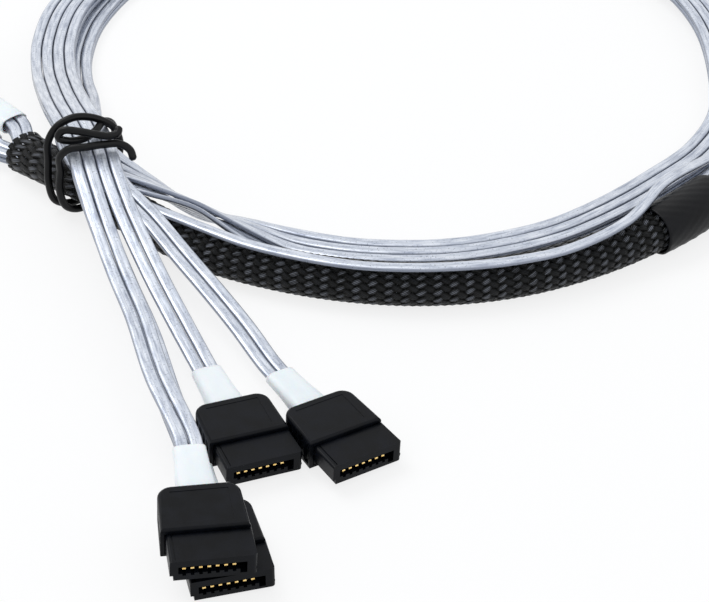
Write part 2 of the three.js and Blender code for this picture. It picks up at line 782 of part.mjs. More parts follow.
// Board-side plug, with its mating face at y = 0 and its leads leaving along +y.
const boardHeading = Math.atan2(-sharedFrames[0].along.x, sharedFrames[0].along.y);
const boardLength = noseLength + bodyLength - bodyEntryDepth + fit; // from its mating face to the leads' ends
const boardFace = sharedPoints[0].clone().addScaledVector(sharedFrames[0].along, -boardLength);
const boardPlace = { x: boardFace.x, y: boardFace.y, turn: THREE.MathUtils.radToDeg(boardHeading), lean: 0 };
const boardPlug = plugGroup(boardPlace, 0);
const noseLift = (bodyHeight - noseHeight) / 2;
const cardLevel = bodyHeight / 2;

function roundedBox(width, height, edge) {
  const shape = new THREE.Shape();
  const half = width / 2;
  shape.moveTo(-half + edge, 0);
  shape.lineTo(half - edge, 0);
  shape.lineTo(half, edge);
  shape.lineTo(half, height - edge);
  shape.lineTo(half - edge, height);
  shape.lineTo(-half + edge, height);
  shape.lineTo(-half, height - edge);
  shape.lineTo(-half, edge);
  shape.closePath();
  return shape;
}

function raised(shape, lift) {
  return new THREE.Shape(shape.getPoints().map((point) => new THREE.Vector2(point.x, point.y + lift)));
}

function noseGeometry() {
  const outside = raised(roundedBox(noseWidth, noseHeight, noseEdge), noseLift);
  const inside = raised(roundedBox(noseWidth - 2 * noseWall, noseHeight - 2 * noseWall, noseEdge / 2), noseLift + noseWall);
  const solid = toSolid(extrudeAlongY(outside, 0, noseLength + noseStub));
  return toGeometry(solid.subtract(toSolid(extrudeAlongY(inside, -1, noseCavity))));
}

function bodyGeometry() {
  const front = noseLength;
  const outside = raised(roundedBox(bodyWidth, bodyHeight, bodyEdge), 0);
  const block = toSolid(extrudeAlongY(outside, front, front + bodyShoulder));
  const tailShape = raised(roundedBox(bodyTailWidth, bodyTailHeight, bodyEdge), 0);
  const tail = toSolid(extrudeAlongY(tailShape, front + bodyShoulder - 1, front + bodyLength));
  const seat = raised(roundedBox(noseWidth + 2 * fit, noseHeight + 2 * fit, noseEdge), noseLift - fit);
  const pocket = toSolid(extrudeAlongY(seat, front - 1, front + noseStub + fit));
  const entryHalf = laneStep * sharedRoute[0][3] + sleeveHalf + 3 * fit;
  const entry = toSolid(boxBetween(
    [-entryHalf, front + bodyLength - bodyEntryDepth, cardLevel - layerStep * 1.6],
    [entryHalf, front + bodyLength + 1, cardLevel + layerStep * 1.6],
  ));
  return toGeometry(block.add(tail).subtract(pocket).subtract(entry));
}

// The card carries its plated pads, a row on each side.
function cardGeometry() {
  const half = noseWidth / 2 - noseWall - 2 * fit;
  let card = toSolid(boxBetween(
    [-half, cardSetback, cardLevel - cardThickness / 2],
    [half, noseCavity - fit, cardLevel + cardThickness / 2],
  ));
  for (let index = 0; index < padCount; index += 1) {
    const middle = (index - (padCount - 1) / 2) * padPitch;
    const pad = boxBetween(
      [middle - padWidth / 2, cardSetback + fit, cardLevel - cardThickness / 2 - padThickness],
      [middle + padWidth / 2, cardSetback + fit + padLength, cardLevel + cardThickness / 2 + padThickness],
    );
    card = card.add(toSolid(pad));
  }
  return toGeometry(card);
}

// The latch is one bent strip: hooks over the nose, a rise, and a press plate over the body.
function latchGeometry() {
  const noseTop = noseLift + noseHeight + fit;
  const bodyTop = bodyHeight + fit;
  const front = noseLength - latchReach;
  const bend = noseLength - latchBack;
  const tail = noseLength + latchTail;
  const profile = new THREE.Shape([
    new THREE.Vector2(front, noseTop),
    new THREE.Vector2(bend, noseTop),
    new THREE.Vector2(bend, bodyTop),
    new THREE.Vector2(noseLength + latchFoot, bodyTop),
    new THREE.Vector2(tail, bodyTop + latchRise),
    new THREE.Vector2(tail, bodyTop + latchRise + latchThickness),
    new THREE.Vector2(noseLength + latchFoot, bodyTop + latchThickness),
    new THREE.Vector2(bend - latchThickness, bodyTop + latchThickness),
    new THREE.Vector2(bend - latchThickness, noseTop + latchThickness),
    new THREE.Vector2(front, noseTop + latchThickness),
  ]);
  const strip = new THREE.ExtrudeGeometry(profile, { depth: latchWidth, bevelEnabled: false });
  strip.applyMatrix4(sideProfileMatrix(0, latchWidth));
  let solid = toSolid(strip);
  [-1, 1].forEach((side) => {
    const outer = (side * latchWidth) / 2;
    const inner = outer - side * hookWidth;
    const hook = boxBetween(
      [Math.min(outer, inner), front, noseTop + latchThickness / 2],
      [Math.max(outer, inner), front + hookHeight, noseTop + latchThickness + hookHeight],
    );
    solid = solid.add(toSolid(hook));
  });
  return toGeometry(solid);
}

addMesh(boardPlug, 'board_plug_nose', noseGeometry(), finish.steel);
addMesh(boardPlug, 'board_plug_body', bodyGeometry(), finish.black);
addMesh(boardPlug, 'board_plug_card', cardGeometry(), finish.card);
addMesh(boardPlug, 'board_plug_latch', latchGeometry(), finish.steel);
group.add(boardPlug);

// The tie is one wire: two turns round the bundle, a small loop on top, and two free ends.
function tieGeometry() {
  const toWorld = new THREE.Matrix4().makeRotationZ(THREE.MathUtils.degToRad(tiePlace.turn));
  toWorld.setPosition(tiePlace.x, tiePlace.y, 0);
  const points = tieRoute.map(([across, along, up]) => new THREE.Vector3(across, -along, up).applyMatrix4(toWorld));
  const section = new THREE.Shape();
  for (let side = 0; side < tieSides; side += 1) {
    const angle = (side / tieSides) * 2 * Math.PI;
    const x = (Math.cos(angle) * tieDiameter) / 2;
    const y = (Math.sin(angle) * tieDiameter) / 2;
    if (side === 0) section.moveTo(x, y);
    else section.lineTo(x, y);
  }
  const wire = new THREE.CatmullRomCurve3(points);
  return new THREE.ExtrudeGeometry(section, { steps: tieSteps, extrudePath: wire });
}

addMesh(group, 'twist_tie', tieGeometry(), finish.rubber);

// The origin is under the middle of the whole cable, on the plane it lies on.
group.updateMatrixWorld(true);
const bounds = new THREE.Box3().setFromObject(group, true);
const middle = bounds.getCenter(new THREE.Vector3());
group.children.forEach((child) => child.position.sub(new THREE.Vector3(middle.x, middle.y, bounds.min.z)));
group.updateMatrixWorld(true);

export default group;
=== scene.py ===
from math import atan, atan2, copysign, cos, exp, pi, radians, sin
from types import SimpleNamespace as Station
import bpy
import bmesh
from mathutils import Matrix, Vector, noise


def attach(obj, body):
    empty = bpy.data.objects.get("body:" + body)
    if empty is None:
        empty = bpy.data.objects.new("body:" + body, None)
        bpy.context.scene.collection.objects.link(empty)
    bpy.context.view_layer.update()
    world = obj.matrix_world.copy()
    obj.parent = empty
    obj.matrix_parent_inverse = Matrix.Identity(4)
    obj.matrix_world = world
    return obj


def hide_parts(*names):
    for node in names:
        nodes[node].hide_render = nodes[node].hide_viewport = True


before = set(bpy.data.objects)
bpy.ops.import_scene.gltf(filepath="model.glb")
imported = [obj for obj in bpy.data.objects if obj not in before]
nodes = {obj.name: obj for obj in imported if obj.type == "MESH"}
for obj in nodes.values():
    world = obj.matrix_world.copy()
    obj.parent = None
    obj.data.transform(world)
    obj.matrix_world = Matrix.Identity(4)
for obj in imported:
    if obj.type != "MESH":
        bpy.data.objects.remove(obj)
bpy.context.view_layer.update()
bpy.ops.object.select_all(action="DESELECT")
print("frame loaded,", len(nodes), "nodes")

mm = 0.001  # lengths below are in millimetres, as on a drawing
routeShift = Vector((9.8731, -39.5869, 0.0138))  # from the route's own zero to the cable's middle


# small helpers

def hexLinear(text):
    values = [int(text[i:i + 2], 16) / 255 for i in (1, 3, 5)]
    return (*[v / 12.92 if v <= 0.04045 else ((v + 0.055) / 1.055) ** 2.4 for v in values], 1.0)


def clamped(value):
    return min(max(value, 0), 1)


def smoothed(value):
    share = clamped(value)
    return share * share * (3 - 2 * share)


def unevenness(x, y, z):
    return noise.noise(Vector((x, y, z)))


def squarish(angle, acrossPower, upPower):
    # a point of the unit circle, pushed out towards the corners as the powers fall below 1
    x, z = cos(angle), sin(angle)
    return copysign(abs(x) ** acrossPower, x), copysign(abs(z) ** upPower, z)


def setInput(tree, socket, value):
    # a node given as the value stands for its first output
    if isinstance(value, bpy.types.Node):
        value = value.outputs[0]
    if isinstance(value, bpy.types.NodeSocket):
        tree.links.new(value, socket)
    else:
        socket.default_value = value


def addNode(tree, kind, inputs=(), **settings):
    node = tree.nodes.new("ShaderNode" + kind)
    for name, value in settings.items():
        setattr(node, name, value)
    for socket, value in dict(inputs).items():
        setInput(tree, node.inputs[socket], value)
    return node


def newMaterial(name, **shader):
    material = bpy.data.materials.new(name)
    material.use_nodes = True
    tree = material.node_tree
    for socket, value in shader.items():
        tree.nodes["Principled BSDF"].inputs[socket.replace("_", " ")].default_value = value
    return material, tree


def finishMaterial(material, colour, rough, normal=None):
    tree = material.node_tree
    for socket, value in (("Base Color", colour), ("Roughness", rough), ("Normal", normal)):
        if value is not None:
            setInput(tree, tree.nodes["Principled BSDF"].inputs[socket], value)
    return material


def colourRamp(tree, fac, stops):
    ramp = addNode(tree, "ValToRGB", {"Fac": fac})
    elements = ramp.color_ramp.elements
    while len(elements) < len(stops):
        elements.new(0.5)
    for element, (position, colour) in zip(elements, stops):
        element.position = position
        element.color = hexLinear(colour) if isinstance(colour, str) else (colour, colour, colour, 1)
    return ramp


def newObject(name, data):
    item = bpy.data.objects.new(name, data)
    bpy.context.scene.collection.objects.link(item)
    return item


def activate(piece):
    bpy.ops.object.select_all(action="DESELECT")
    bpy.context.view_layer.objects.active = piece
    piece.select_set(True)


def meshPiece(name, vertices, faces, material, uvs):
    mesh = bpy.data.meshes.new(name)
    mesh.from_pydata([Vector(v) * mm for v in vertices], [], faces)
    mesh.materials.append(material)
    layer = mesh.uv_layers.new(name="UVMap")
    layer.data.foreach_set("uv", [value for face in uvs for uv in face for value in uv])
    mesh.polygons.foreach_set("use_smooth", [True] * len(mesh.polygons))
    mesh.validate()
    return newObject(name, mesh)


def finishPiece(piece, replaced):
    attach(piece, "root")
    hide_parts(*([replaced] if isinstance(replaced, str) else replaced))
    return piece


# camera, at the photograph's angle

camera = {"lens": 102.2, "height": 222.7, "back": 295.5}

cameraData = bpy.data.cameras.new("camera")
cameraData.lens = camera["lens"]
cameraData.sensor_width = 36
cameraData.clip_start = 0.01
cameraObject = newObject("camera", cameraData)
cameraOffset = Vector((0, -camera["back"], camera["height"]))
cameraObject.location = (routeShift + cameraOffset) * mm
cameraObject.rotation_euler = cameraOffset.to_track_quat("Z", "Y").to_euler()
bpy.context.scene.camera = cameraObject
print("camera placed")


# materials

# FEP-jacketed twin lead: aluminium foil wrapped over two conductors and seen through a clear jacket.
# It gives a cool grey with fine streaks and glints, with painted shade darkening both edges where the
# foil turns down and a painted dark line along the middle groove.
foil = {"pale": "#dde2eb", "mid": "#c1c8d5", "deep": "#959daf", "edge": "#7b8292", "crinkle": 0.55,
        "streak": 5.0, "lap": 4.2}


def makeFoilMaterial():
    material, tree = newMaterial("foilUnderClearJacket", Metallic=0.62, Coat_Weight=0.8,
                                 Coat_Roughness=0.12, Coat_IOR=1.4)
    uv = addNode(tree, "TexCoord").outputs["UV"]
    stretched = addNode(tree, "Mapping", {"Vector": uv, "Scale": (1.6, 1 / foil["streak"], 1)})
    streaks = addNode(tree, "TexNoise",
                      {"Vector": stretched, "Scale": 1.0, "Detail": 4.0, "Roughness": 0.6})
    crinkle = addNode(tree, "TexNoise",
                      {"Vector": uv, "Scale": 1 / foil["crinkle"], "Detail": 5.0, "Roughness": 0.62})
    lapMap = addNode(tree, "Mapping", {"Vector": uv, "Rotation": (0, 0, 0.5)})
    laps = addNode(tree, "TexWave", {"Vector": lapMap, "Scale": 0.32 / foil["lap"],
                                     "Distortion": 1.2, "Detail": 2.0},
                   wave_type="BANDS", bands_direction="Y", wave_profile="SAW")
    tone = addNode(tree, "Mix", {"Factor": 0.15, "A": streaks, "B": crinkle}, data_type="FLOAT")
    colour = colourRamp(tree, tone, [(0.32, foil["deep"]), (0.47, foil["mid"]), (0.62, foil["pale"])])
    lanes = addNode(tree, "UVMap", uv_map="lanes")
    lane = addNode(tree, "SeparateXYZ", {"Vector": lanes})
    # painted shade: a dark line down the middle groove, and darker grey towards both edges of the strip
    edge = colourRamp(tree, lane, [(0.0, 0.55), (0.06, 0.0), (0.72, 0.0), (0.97, 0.9)])
    edgeShaded = addNode(tree, "Mix", {"Factor": edge, 6: colour, 7: hexLinear(foil["edge"])},
                    data_type="RGBA")
    rough = colourRamp(tree, crinkle, [(0.3, 0.24), (0.7, 0.4)])
    small = addNode(tree, "Bump", {"Height": crinkle, "Strength": 0.22, "Distance": 0.0001})
    lapped = addNode(tree, "Bump", {"Height": laps.outputs["Fac"], "Strength": 0.1,
                                    "Distance": 0.00008, "Normal": small})
    return finishMaterial(material, edgeShaded.outputs[2], rough, lapped)


# PET monofilament, laid flat side by side in each ribbon of the braid: near black and glossy,
# with a painted grey glint on the crown of each float, strong on strands running one way, faint on the
# others.
filament = {"width": 0.26, "dark": "#040505", "crown": "#73767e", "weakGlint": "#1d1f23"}


def makeBraidMaterial():
    material, tree = newMaterial("petMonofilament", Specular_IOR_Level=0.12, IOR=1.57)
    uv = addNode(tree, "TexCoord").outputs["UV"]
    threads = addNode(tree, "TexWave", {"Vector": uv, "Scale": 0.314 / filament["width"]},
                      wave_type="BANDS", bands_direction="X", wave_profile="SIN")
    along = addNode(tree, "Mapping", {"Vector": uv, "Scale": (2.2, 0.4, 1)})
    roughAndGlintNoise = addNode(tree, "TexNoise", {"Vector": along, "Scale": 1.0, "Detail": 3.0})
    floats = addNode(tree, "UVMap", uv_map="floats")
    weave = addNode(tree, "SeparateXYZ", {"Vector": floats})
    # painted glint: grey on the float crowns, broken up by noise and by the thread lines
    brokenGlint = addNode(tree, "Math", {0: weave, 1: roughAndGlintNoise}, operation="MULTIPLY")
    between = addNode(tree, "Math", {0: threads.outputs["Fac"], 1: 0.4}, operation="ADD")
    glintMask = addNode(tree, "Math", {0: brokenGlint, 1: between}, operation="MULTIPLY")
    strongGlint = colourRamp(tree, glintMask, [(0.3, filament["dark"]), (0.62, filament["crown"])])
    weakGlint = colourRamp(tree, glintMask, [(0.3, filament["dark"]), (0.62, filament["weakGlint"])])
    # the painted glint is strong on strands running one way and faint on those running the other
    colour = addNode(tree, "Mix", {"Factor": weave.outputs["Y"], 6: weakGlint, 7: strongGlint}, data_type="RGBA")
    rough = colourRamp(tree, roughAndGlintNoise, [(0.3, 0.24), (0.75, 0.46)])
    bump = addNode(tree, "Bump", {"Height": threads.outputs["Fac"], "Strength": 0.8,
                                  "Distance": 0.0001})
    return finishMaterial(material, colour.outputs[2], rough, bump)


# Moulded plastic in one colour: a fine spark-eroded grain and a faint change of sheen.
def makeMouldedMaterial(name, dark, light, grain, roughness, bumpDepth, **shader):
    material, tree = newMaterial(name, **shader)
    place = addNode(tree, "TexCoord").outputs["Object"]
    fine = addNode(tree, "TexNoise", {"Vector": place, "Scale": 1000 / grain,
                                      "Detail": 4.0, "Roughness": 0.6})
    broad = addNode(tree, "TexNoise", {"Vector": place, "Scale": 1000 / (grain * 14), "Detail": 3.0})
    colour = colourRamp(tree, broad, [(0.35, dark), (0.68, light)])
    rough = colourRamp(tree, broad, [(0.3, roughness[0]), (0.7, roughness[1])])
    bump = addNode(tree, "Bump", {"Height": fine, "Strength": 0.4, "Distance": bumpDepth * mm})
    return finishMaterial(material, colour, rough, bump)


# Gold flash over phosphor bronze, drawn and formed: fine lines along the spring.
def makeGoldMaterial():
    material, tree = newMaterial("goldFlashedBronze", Metallic=1.0)
    place = addNode(tree, "TexCoord").outputs["Object"]
    lines = addNode(tree, "TexNoise", {"Vector": place, "Scale": 1000 / 0.25, "Detail": 2.0})
    colour = colourRamp(tree, lines, [(0.35, "#e2b765"), (0.7, "#fbe3a6")])
    rough = colourRamp(tree, lines, [(0.3, 0.16), (0.7, 0.3)])
    return finishMaterial(material, colour, rough)


# Stamped stainless strip: rolled lines all one way and a dull sheen.
def makeSteelMaterial():
    material, tree = newMaterial("rolledStainless", Metallic=1.0)
    place = addNode(tree, "TexCoord").outputs["Object"]
    rolled = addNode(tree, "Mapping",
                     {"Vector": place, "Rotation": (0, 0, radians(40)),
                      "Scale": (1, 14, 14)})
    lines = addNode(tree, "TexNoise", {"Vector": rolled, "Scale": 1000 / 3.0, "Detail": 5.0})
    colour = colourRamp(tree, lines, [(0.3, "#85888d"), (0.7, "#a6a9ae")])
    rough = colourRamp(tree, lines, [(0.3, 0.28), (0.7, 0.44)])
    bump = addNode(tree, "Bump", {"Height": lines, "Strength": 0.2, "Distance": 0.00004})
    return finishMaterial(material, colour, rough, bump)


foilMaterial = makeFoilMaterial()
braidMaterial = makeBraidMaterial()
# ABS, moulded against a spark-eroded tool: blue-black satin.
absMaterial = makeMouldedMaterial("satinAbs", "#05070b", "#0a0d14", 0.22, (0.28, 0.4), 0.03,
                                  IOR=1.53, Specular_IOR_Level=0.11)
# Polyolefin tube, shrunk on: white with a soft gloss that lets some light in.
whiteShrink = makeMouldedMaterial("whitePolyolefin", "#eef2f4", "#fbfcfd", 0.9, (0.3, 0.42), 0.05,
                                  IOR=1.49, Subsurface_Weight=0.12, Subsurface_Scale=0.001)
blackShrink = makeMouldedMaterial("blackPolyolefin", "#07080a", "#0d0e12", 0.8, (0.34, 0.46), 0.06,
                                  IOR=1.49, Specular_IOR_Level=0.16)
# PVC over soft wire: smooth black with a dull shine.
tieMaterial = makeMouldedMaterial("blackPvc", "#050607", "#0b0c0f", 0.5, (0.26, 0.38), 0.03,
                                  IOR=1.53, Specular_IOR_Level=0.18)
goldMaterial = makeGoldMaterial()
steelMaterial = makeSteelMaterial()
# Glass-epoxy board under green solder mask.
boardMaterial = makeMouldedMaterial("solderMask", "#0f4a2c", "#1a6a3f", 0.3, (0.3, 0.42), 0.02,
                                    IOR=1.55)
print("materials made")


# routes, as in the solid model: x, y, z, then spread, stagger and bank where they aren't 1, 0, 0

leadSize = {"width": 2.26, "thickness": 1.08, "groove": 0.1, "lane": 2.4, "layer": 1.35,
            "crinkle": 0.035}

sharedStations = [
    (-87.4, 69.2, 4.6, 1.32, 0, 0), (-80, 60.6, 4.5, 1.32, 0.4, 0), (-70.6, 49.6, 4.3, 1.28, 0.95, 0),
    (-65.2, 43.4, 4.1, 0.02, 1, 0), (-59.8, 37.8, 4.9, 0, 1, 0), (-52.3, 30.6, 5.95, 0, 1, 0),
    (-41.8, 20.8, 4.9, 0, 1, 0), (-29, 11.6, 3.95, 0, 1, 0), (-15, 4.9, 3.95, 0, 1, 0),
    (0, 0.9, 3.95, 0, 1, 0), (15, 0, 3.95, 0, 1, 0), (30, 2.6, 3.95, 0, 1, 0), (45, 8.8, 4.2, 0, 1, 0),
    (58, 17, 4.75, 0, 1, 0), (67.5, 25.6, 4.8, 0, 1, 0), (75, 34.4, 4.6, 0, 1, 0),
    (81, 43.5, 4.1, 0.55, 1, 0), (86.2, 54.5, 3.4, 1, 1, 0), (89.4, 67, 2.2, 1, 0.5, 0),
    (90.5, 84, 1.35), (88, 105, 1.35), (78.5, 126, 1.35), (60, 143, 1.35), (37, 151.5, 1.35),
    (12, 154, 1.35), (-13, 150.5, 1.35), (-36, 139.5, 1.35), (-52, 123, 1.35), (-60, 104, 1.35),
    (-61.8, 88, 1.35), (-60.3, 74, 2.4), (-57.4, 61, 5.3), (-55.4, 49, 8.8), (-53.6, 37.8, 11.2),
    (-48.6, 28.6, 11.4), (-38.8, 23.6, 9.3, 1, 0, -30), (-30, 21, 6.2, 1, 0, -48),
    (-21, 18.6, 3.3, 1, 0, -24), (-11.4, 15, 1.5), (-1.3, 12.4, 1.35), (8.5, 11.5, 1.35),
    (18.5, 12, 1.35), (29.1, 14.6, 1.35), (39.4, 19, 1.35), (50, 26.4, 1.35), (61, 36.4, 1.35),
    (71, 47.4, 1.3), (78, 61, 1.8), (80.2, 78, 3.2), (79, 98, 4.15), (72, 118, 4.15), (56, 136.5, 4.15),
    (35, 147, 4.15), (12, 150.5, 4.15), (-14, 148.5, 4.15), (-38, 138.5, 4.15), (-55.4, 122, 4.15),
    (-63.6, 104, 4.15), (-65.2, 88, 4.15), (-63.6, 74, 5.2), (-60.6, 61, 8.1), (-57.4, 49, 11.6),
    (-53.8, 38.3, 13.95), (-50, 28, 14.2),
]
sharedRoute = [s if len(s) == 6 else (*s, 1, 0, 0) for s in sharedStations]

crestStart = 34
crestRun = [
    (-52.2, 25, 11.9), (-41, 18.2, 9.9), (-29.4, 11.6, 8.95), (-19.6, 5.8, 8.75), (-10, 2, 8.7),
    (-0.6, -0.6, 8.7), (8.4, -1.5, 8.7), (18, -1.2, 8.7), (28.6, 0.5, 8.7), (39.6, 4.4, 8.75),
    (50.8, 12.2, 9.5), (59, 24.6, 9.6), (71, 39.5, 6.6),
]

pairs = [
    {"side": -1, "tier": 0.5, "fan": [
        (-50.4, 20, 14.9), (-46.8, 9.4, 11.6), (-42.2, -4.2, 9.8), (-37.8, -16.6, 9.2),
        (-33.1, -32.7, 9)]},
    {"side": -1, "tier": -0.5, "fan": [
        (-50.4, 20, 13.3), (-46.4, 9, 9.8), (-41.3, -4.6, 7.4), (-36.4, -17, 5.7), (-31.4, -33, 4.2)]},
    {"side": 1, "tier": 0.5, "fan": [
        (-45.6, 20.6, 14.5), (-42.5, 12.2, 12), (-39, 4.1, 9.6), (-35.3, -4.3, 7.6),
        (-31.2, -12.9, 5.6)]},
    {"side": 1, "tier": -0.5, "fan": [
        (-45, 20.4, 13), (-37.8, 12.2, 10.1), (-31.6, 4, 7.5), (-25.6, -4.4, 5.6), (-20, -13.2, 4.3)]},
]

plugPlaces = [
    {"x": -12.0269, "y": -117.9869, "z": 6.1854, "turn": 10.5, "lean": 3},
    {"x": -9.3269, "y": -115.3869, "z": 0.0138, "turn": 14.5, "lean": 0},
    {"x": -5.5269, "y": -89.3869, "z": 0.3854, "turn": 22.5, "lean": 3},
    {"x": 11.3731, "y": -88.1869, "z": 0.3854, "turn": 32.5, "lean": 3},
]
sleeve = {"back": 14.8, "length": 12.5, "middle": 0.15, "height": 2.75, "half": 2.75, "rise": 1.175,
          "flare": 0.45, "wall": 0.3}


def plugMatrix(place):
    turn = Matrix.Rotation(radians(place["turn"]), 4, "Z")
    lean = Matrix.Rotation(radians(place["lean"]), 4, "Y")
    return Matrix.Translation((place["x"], place["y"], place["z"])) @ (turn @ lean)


def stationFrames(points, banks):
    frames = []
    for index, middle in enumerate(points):
        before, after = points[max(index - 1, 0)], points[min(index + 1, len(points) - 1)]
        along = (after - before).normalized()
        across = Vector((-along.y, along.x, 0)).normalized()
        across.rotate(Matrix.Rotation(radians(banks[index]), 3, along))
        frames.append(Station(middle=middle, along=along, across=across, up=along.cross(across)))
    return frames


def smoothSpan(points, index, share):
    # centripetal Catmull-Rom, which has no kinks between uneven stations
    p1, p2 = points[index], points[index + 1]
    p0 = points[index - 1] if index > 0 else p1 * 2 - p2
    p3 = points[index + 2] if index + 2 < len(points) else p2 * 2 - p1
    d0, d1, d2 = [max((b - a).length ** 0.5, 1e-4) for a, b in ((p0, p1), (p1, p2), (p2, p3))]
    t1 = ((p1 - p0) / d0 - (p2 - p0) / (d0 + d1) + (p2 - p1) / d1) * d1
    t2 = ((p2 - p1) / d1 - (p3 - p1) / (d1 + d2) + (p3 - p2) / d2) * d1
    a, b = share * share, share * share * share
    return p1 * (2 * b - 3 * a + 1) + t1 * (b - 2 * a + share) + p2 * (3 * a - 2 * b) + t2 * (b - a)


def frameAt(points, acrosses, station):
    index = min(max(int(station), 0), len(points) - 2)
    share = station - index
    middle = smoothSpan(points, index, share)
    ahead = smoothSpan(points, index, min(share + 0.01, 1))
    along = (ahead - smoothSpan(points, index, max(share - 0.01, 0))).normalized()
    across = acrosses[index].lerp(acrosses[index + 1], share)
    across = (across - along * across.dot(along)).normalized()
    return Station(middle=middle, along=along, across=across, up=along.cross(across))


def evenFrames(points, acrosses, start, end, step):
    # even steps along the path, from one station to another
    fine, station = [], start
    while station < end:
        fine.append(station)
        station += 0.02
    fine.append(end)
    places = [frameAt(points, acrosses, s).middle for s in fine]
    distances = [0.0]
    for a, b in zip(places, places[1:]):
        distances.append(distances[-1] + (b - a).length)
    count = max(round(distances[-1] / step), 2)
    frames, cursor = [], 0
    for k in range(count + 1):
        wanted = distances[-1] * k / count
        while cursor < len(distances) - 2 and distances[cursor + 1] < wanted:
            cursor += 1
        span = distances[cursor + 1] - distances[cursor]
        share = (wanted - distances[cursor]) / span if span else 0
        station = fine[cursor] + (fine[cursor + 1] - fine[cursor]) * share
        here = frameAt(points, acrosses, station)
        here.distance, here.station = wanted, station
        frames.append(here)
    return frames


def sweepRings(name, rings, material, distances, closed=False):
    # a tube from rings of points; u runs round it and v along it, in millimetres
    sides = len(rings[0])
    vertices = [p + routeShift for ring in rings for p in ring]
    faces, uvs = [], []
    around = [0.0]
    for side in range(sides):
        around.append(around[-1] + (rings[0][(side + 1) % sides] - rings[0][side]).length)
    total = len(rings)
    for index in range(total if closed else total - 1):
        after = (index + 1) % total
        low, high = distances[index], distances[after]
        for side in range(sides):
            nextSide = (side + 1) % sides
            faces.append((index * sides + side, index * sides + nextSide, after * sides + nextSide,
                          after * sides + side))
            uvs.append(((around[side], low), (around[side + 1], low), (around[side + 1], high),
                        (around[side], high)))
    if not closed:
        for index, flip in ((0, True), (total - 1, False)):
            loop = [index * sides + side for side in range(sides)]
            uv = [(around[side], distances[index]) for side in range(sides)]
            faces.append(tuple(reversed(loop)) if flip else tuple(loop))
            uvs.append(tuple(reversed(uv)) if flip else tuple(uv))
    return meshPiece(name, vertices, faces, material, uvs)


sharedPoints = [Vector(s[:3]) for s in sharedRoute]
sharedFrames = stationFrames(sharedPoints, [s[5] for s in sharedRoute])
sharedAcrosses = [f.across for f in sharedFrames]


# the eight leads

def leadPath(pair, place, column):
    lane = column - 0.5
    points, acrosses = [], []
    for index, (station, here) in enumerate(zip(sharedRoute, sharedFrames)):
        crest = index - crestStart
        if pair["side"] < 0 and pair["tier"] > 0 and column == 0 and 0 <= crest < len(crestRun):
            points.append(Vector(crestRun[crest]))
            acrosses.append(Vector((-here.along.y, here.along.x, 0)).normalized())
            continue
        sideways = (pair["side"] * station[3] + lane) * leadSize["lane"]
        upward = (pair["side"] * station[4] + pair["tier"]) * leadSize["layer"]
        points.append(here.middle + here.across * sideways + here.up * upward)
        acrosses.append(here.across)
    matrix = plugMatrix(place)
    top = sleeve["back"] + sleeve["length"]
    entry = [matrix @ Vector((sleeve["middle"], d, sleeve["height"])) - routeShift
             for d in (top + 3, top - 3, sleeve["back"] + 0.1)]
    tail = [Vector(p) for p in pair["fan"]] + entry
    plugSideways = matrix.to_3x3() @ Vector((1, 0, 0))
    for index, here in enumerate(stationFrames(tail, [0] * len(tail))):
        across = here.across if index < len(pair["fan"]) else plugSideways
        points.append(here.middle + across * lane * leadSize["lane"])
        acrosses.append(across)
    return points, acrosses


def leadRing(here, seed):
    half, rise = leadSize["width"] / 2, leadSize["thickness"] / 2
    twist = 0.1 * unevenness(here.distance / 24, seed, 0.5)
    ring = []
    for side in range(20):
        angle = side / 20 * 2 * pi
        x, z = squarish(angle, 0.85, 0.62)
        x, z = x * half, z * rise
        z -= copysign(leadSize["groove"], z) * exp(-(x / 0.3) ** 2) if abs(z) > 0.2 else 0
        x, z = x * cos(twist) - z * sin(twist), x * sin(twist) + z * cos(twist)
        dent = leadSize["crinkle"] * unevenness(x / 0.9, z / 0.9, here.distance / 1.6 + seed * 31)
        push = 1 + dent / max(abs(z), 0.3) if abs(z) > 0.1 else 1
        ring.append(here.middle + here.across * x + here.up * z * push)
    return ring


leadStep = 1.2
for number, (pair, place) in enumerate(zip(pairs, plugPlaces), 1):
    for column, letter in enumerate("ab"):
        points, acrosses = leadPath(pair, place, column)
        frames = evenFrames(points, acrosses, 0, len(points) - 1, leadStep)
        seed = number * 2 + column
        rings = [leadRing(here, seed) for here in frames]
        lead = sweepRings(f"foil_lead_{number}_{letter}", rings, foilMaterial,
                          [f.distance + seed * 37 for f in frames])
        # this map places the painted shade on the middle groove and the edges
        layer = lead.data.uv_layers.new(name="lanes")  # 0 along the strip's middle, 1 along its edges
        sides = len(rings[0])
        edgeShadeShares = [abs(cos((loop.vertex_index % sides) / sides * 2 * pi)) ** 0.85
                   for loop in lead.data.loops]
        layer.data.foreach_set("uv", [value for across in edgeShadeShares for value in (across, 0.5)])
        lead.data.uv_layers.active_index = 0
        finishPiece(lead, f"lead_{number}_{letter}")
print("leads made")


# the braided sleeve: 16 flat ribbons each way, over one and under one

braid = {"width": 8.3, "height": 7.8, "start": 2.85, "end": 14.1, "ribbons": 16, "pitch": 45,
         "stretched": 88, "ribbon": 1.16, "thickness": 0.2, "wave": 0.17}


def ovalPoint(here, halfWidth, halfHeight, angle):
    x, z = squarish(angle, 2 / 2.2, 2 / 2.2)
    return here.middle + here.across * (x * halfWidth) + here.up * (z * halfHeight)


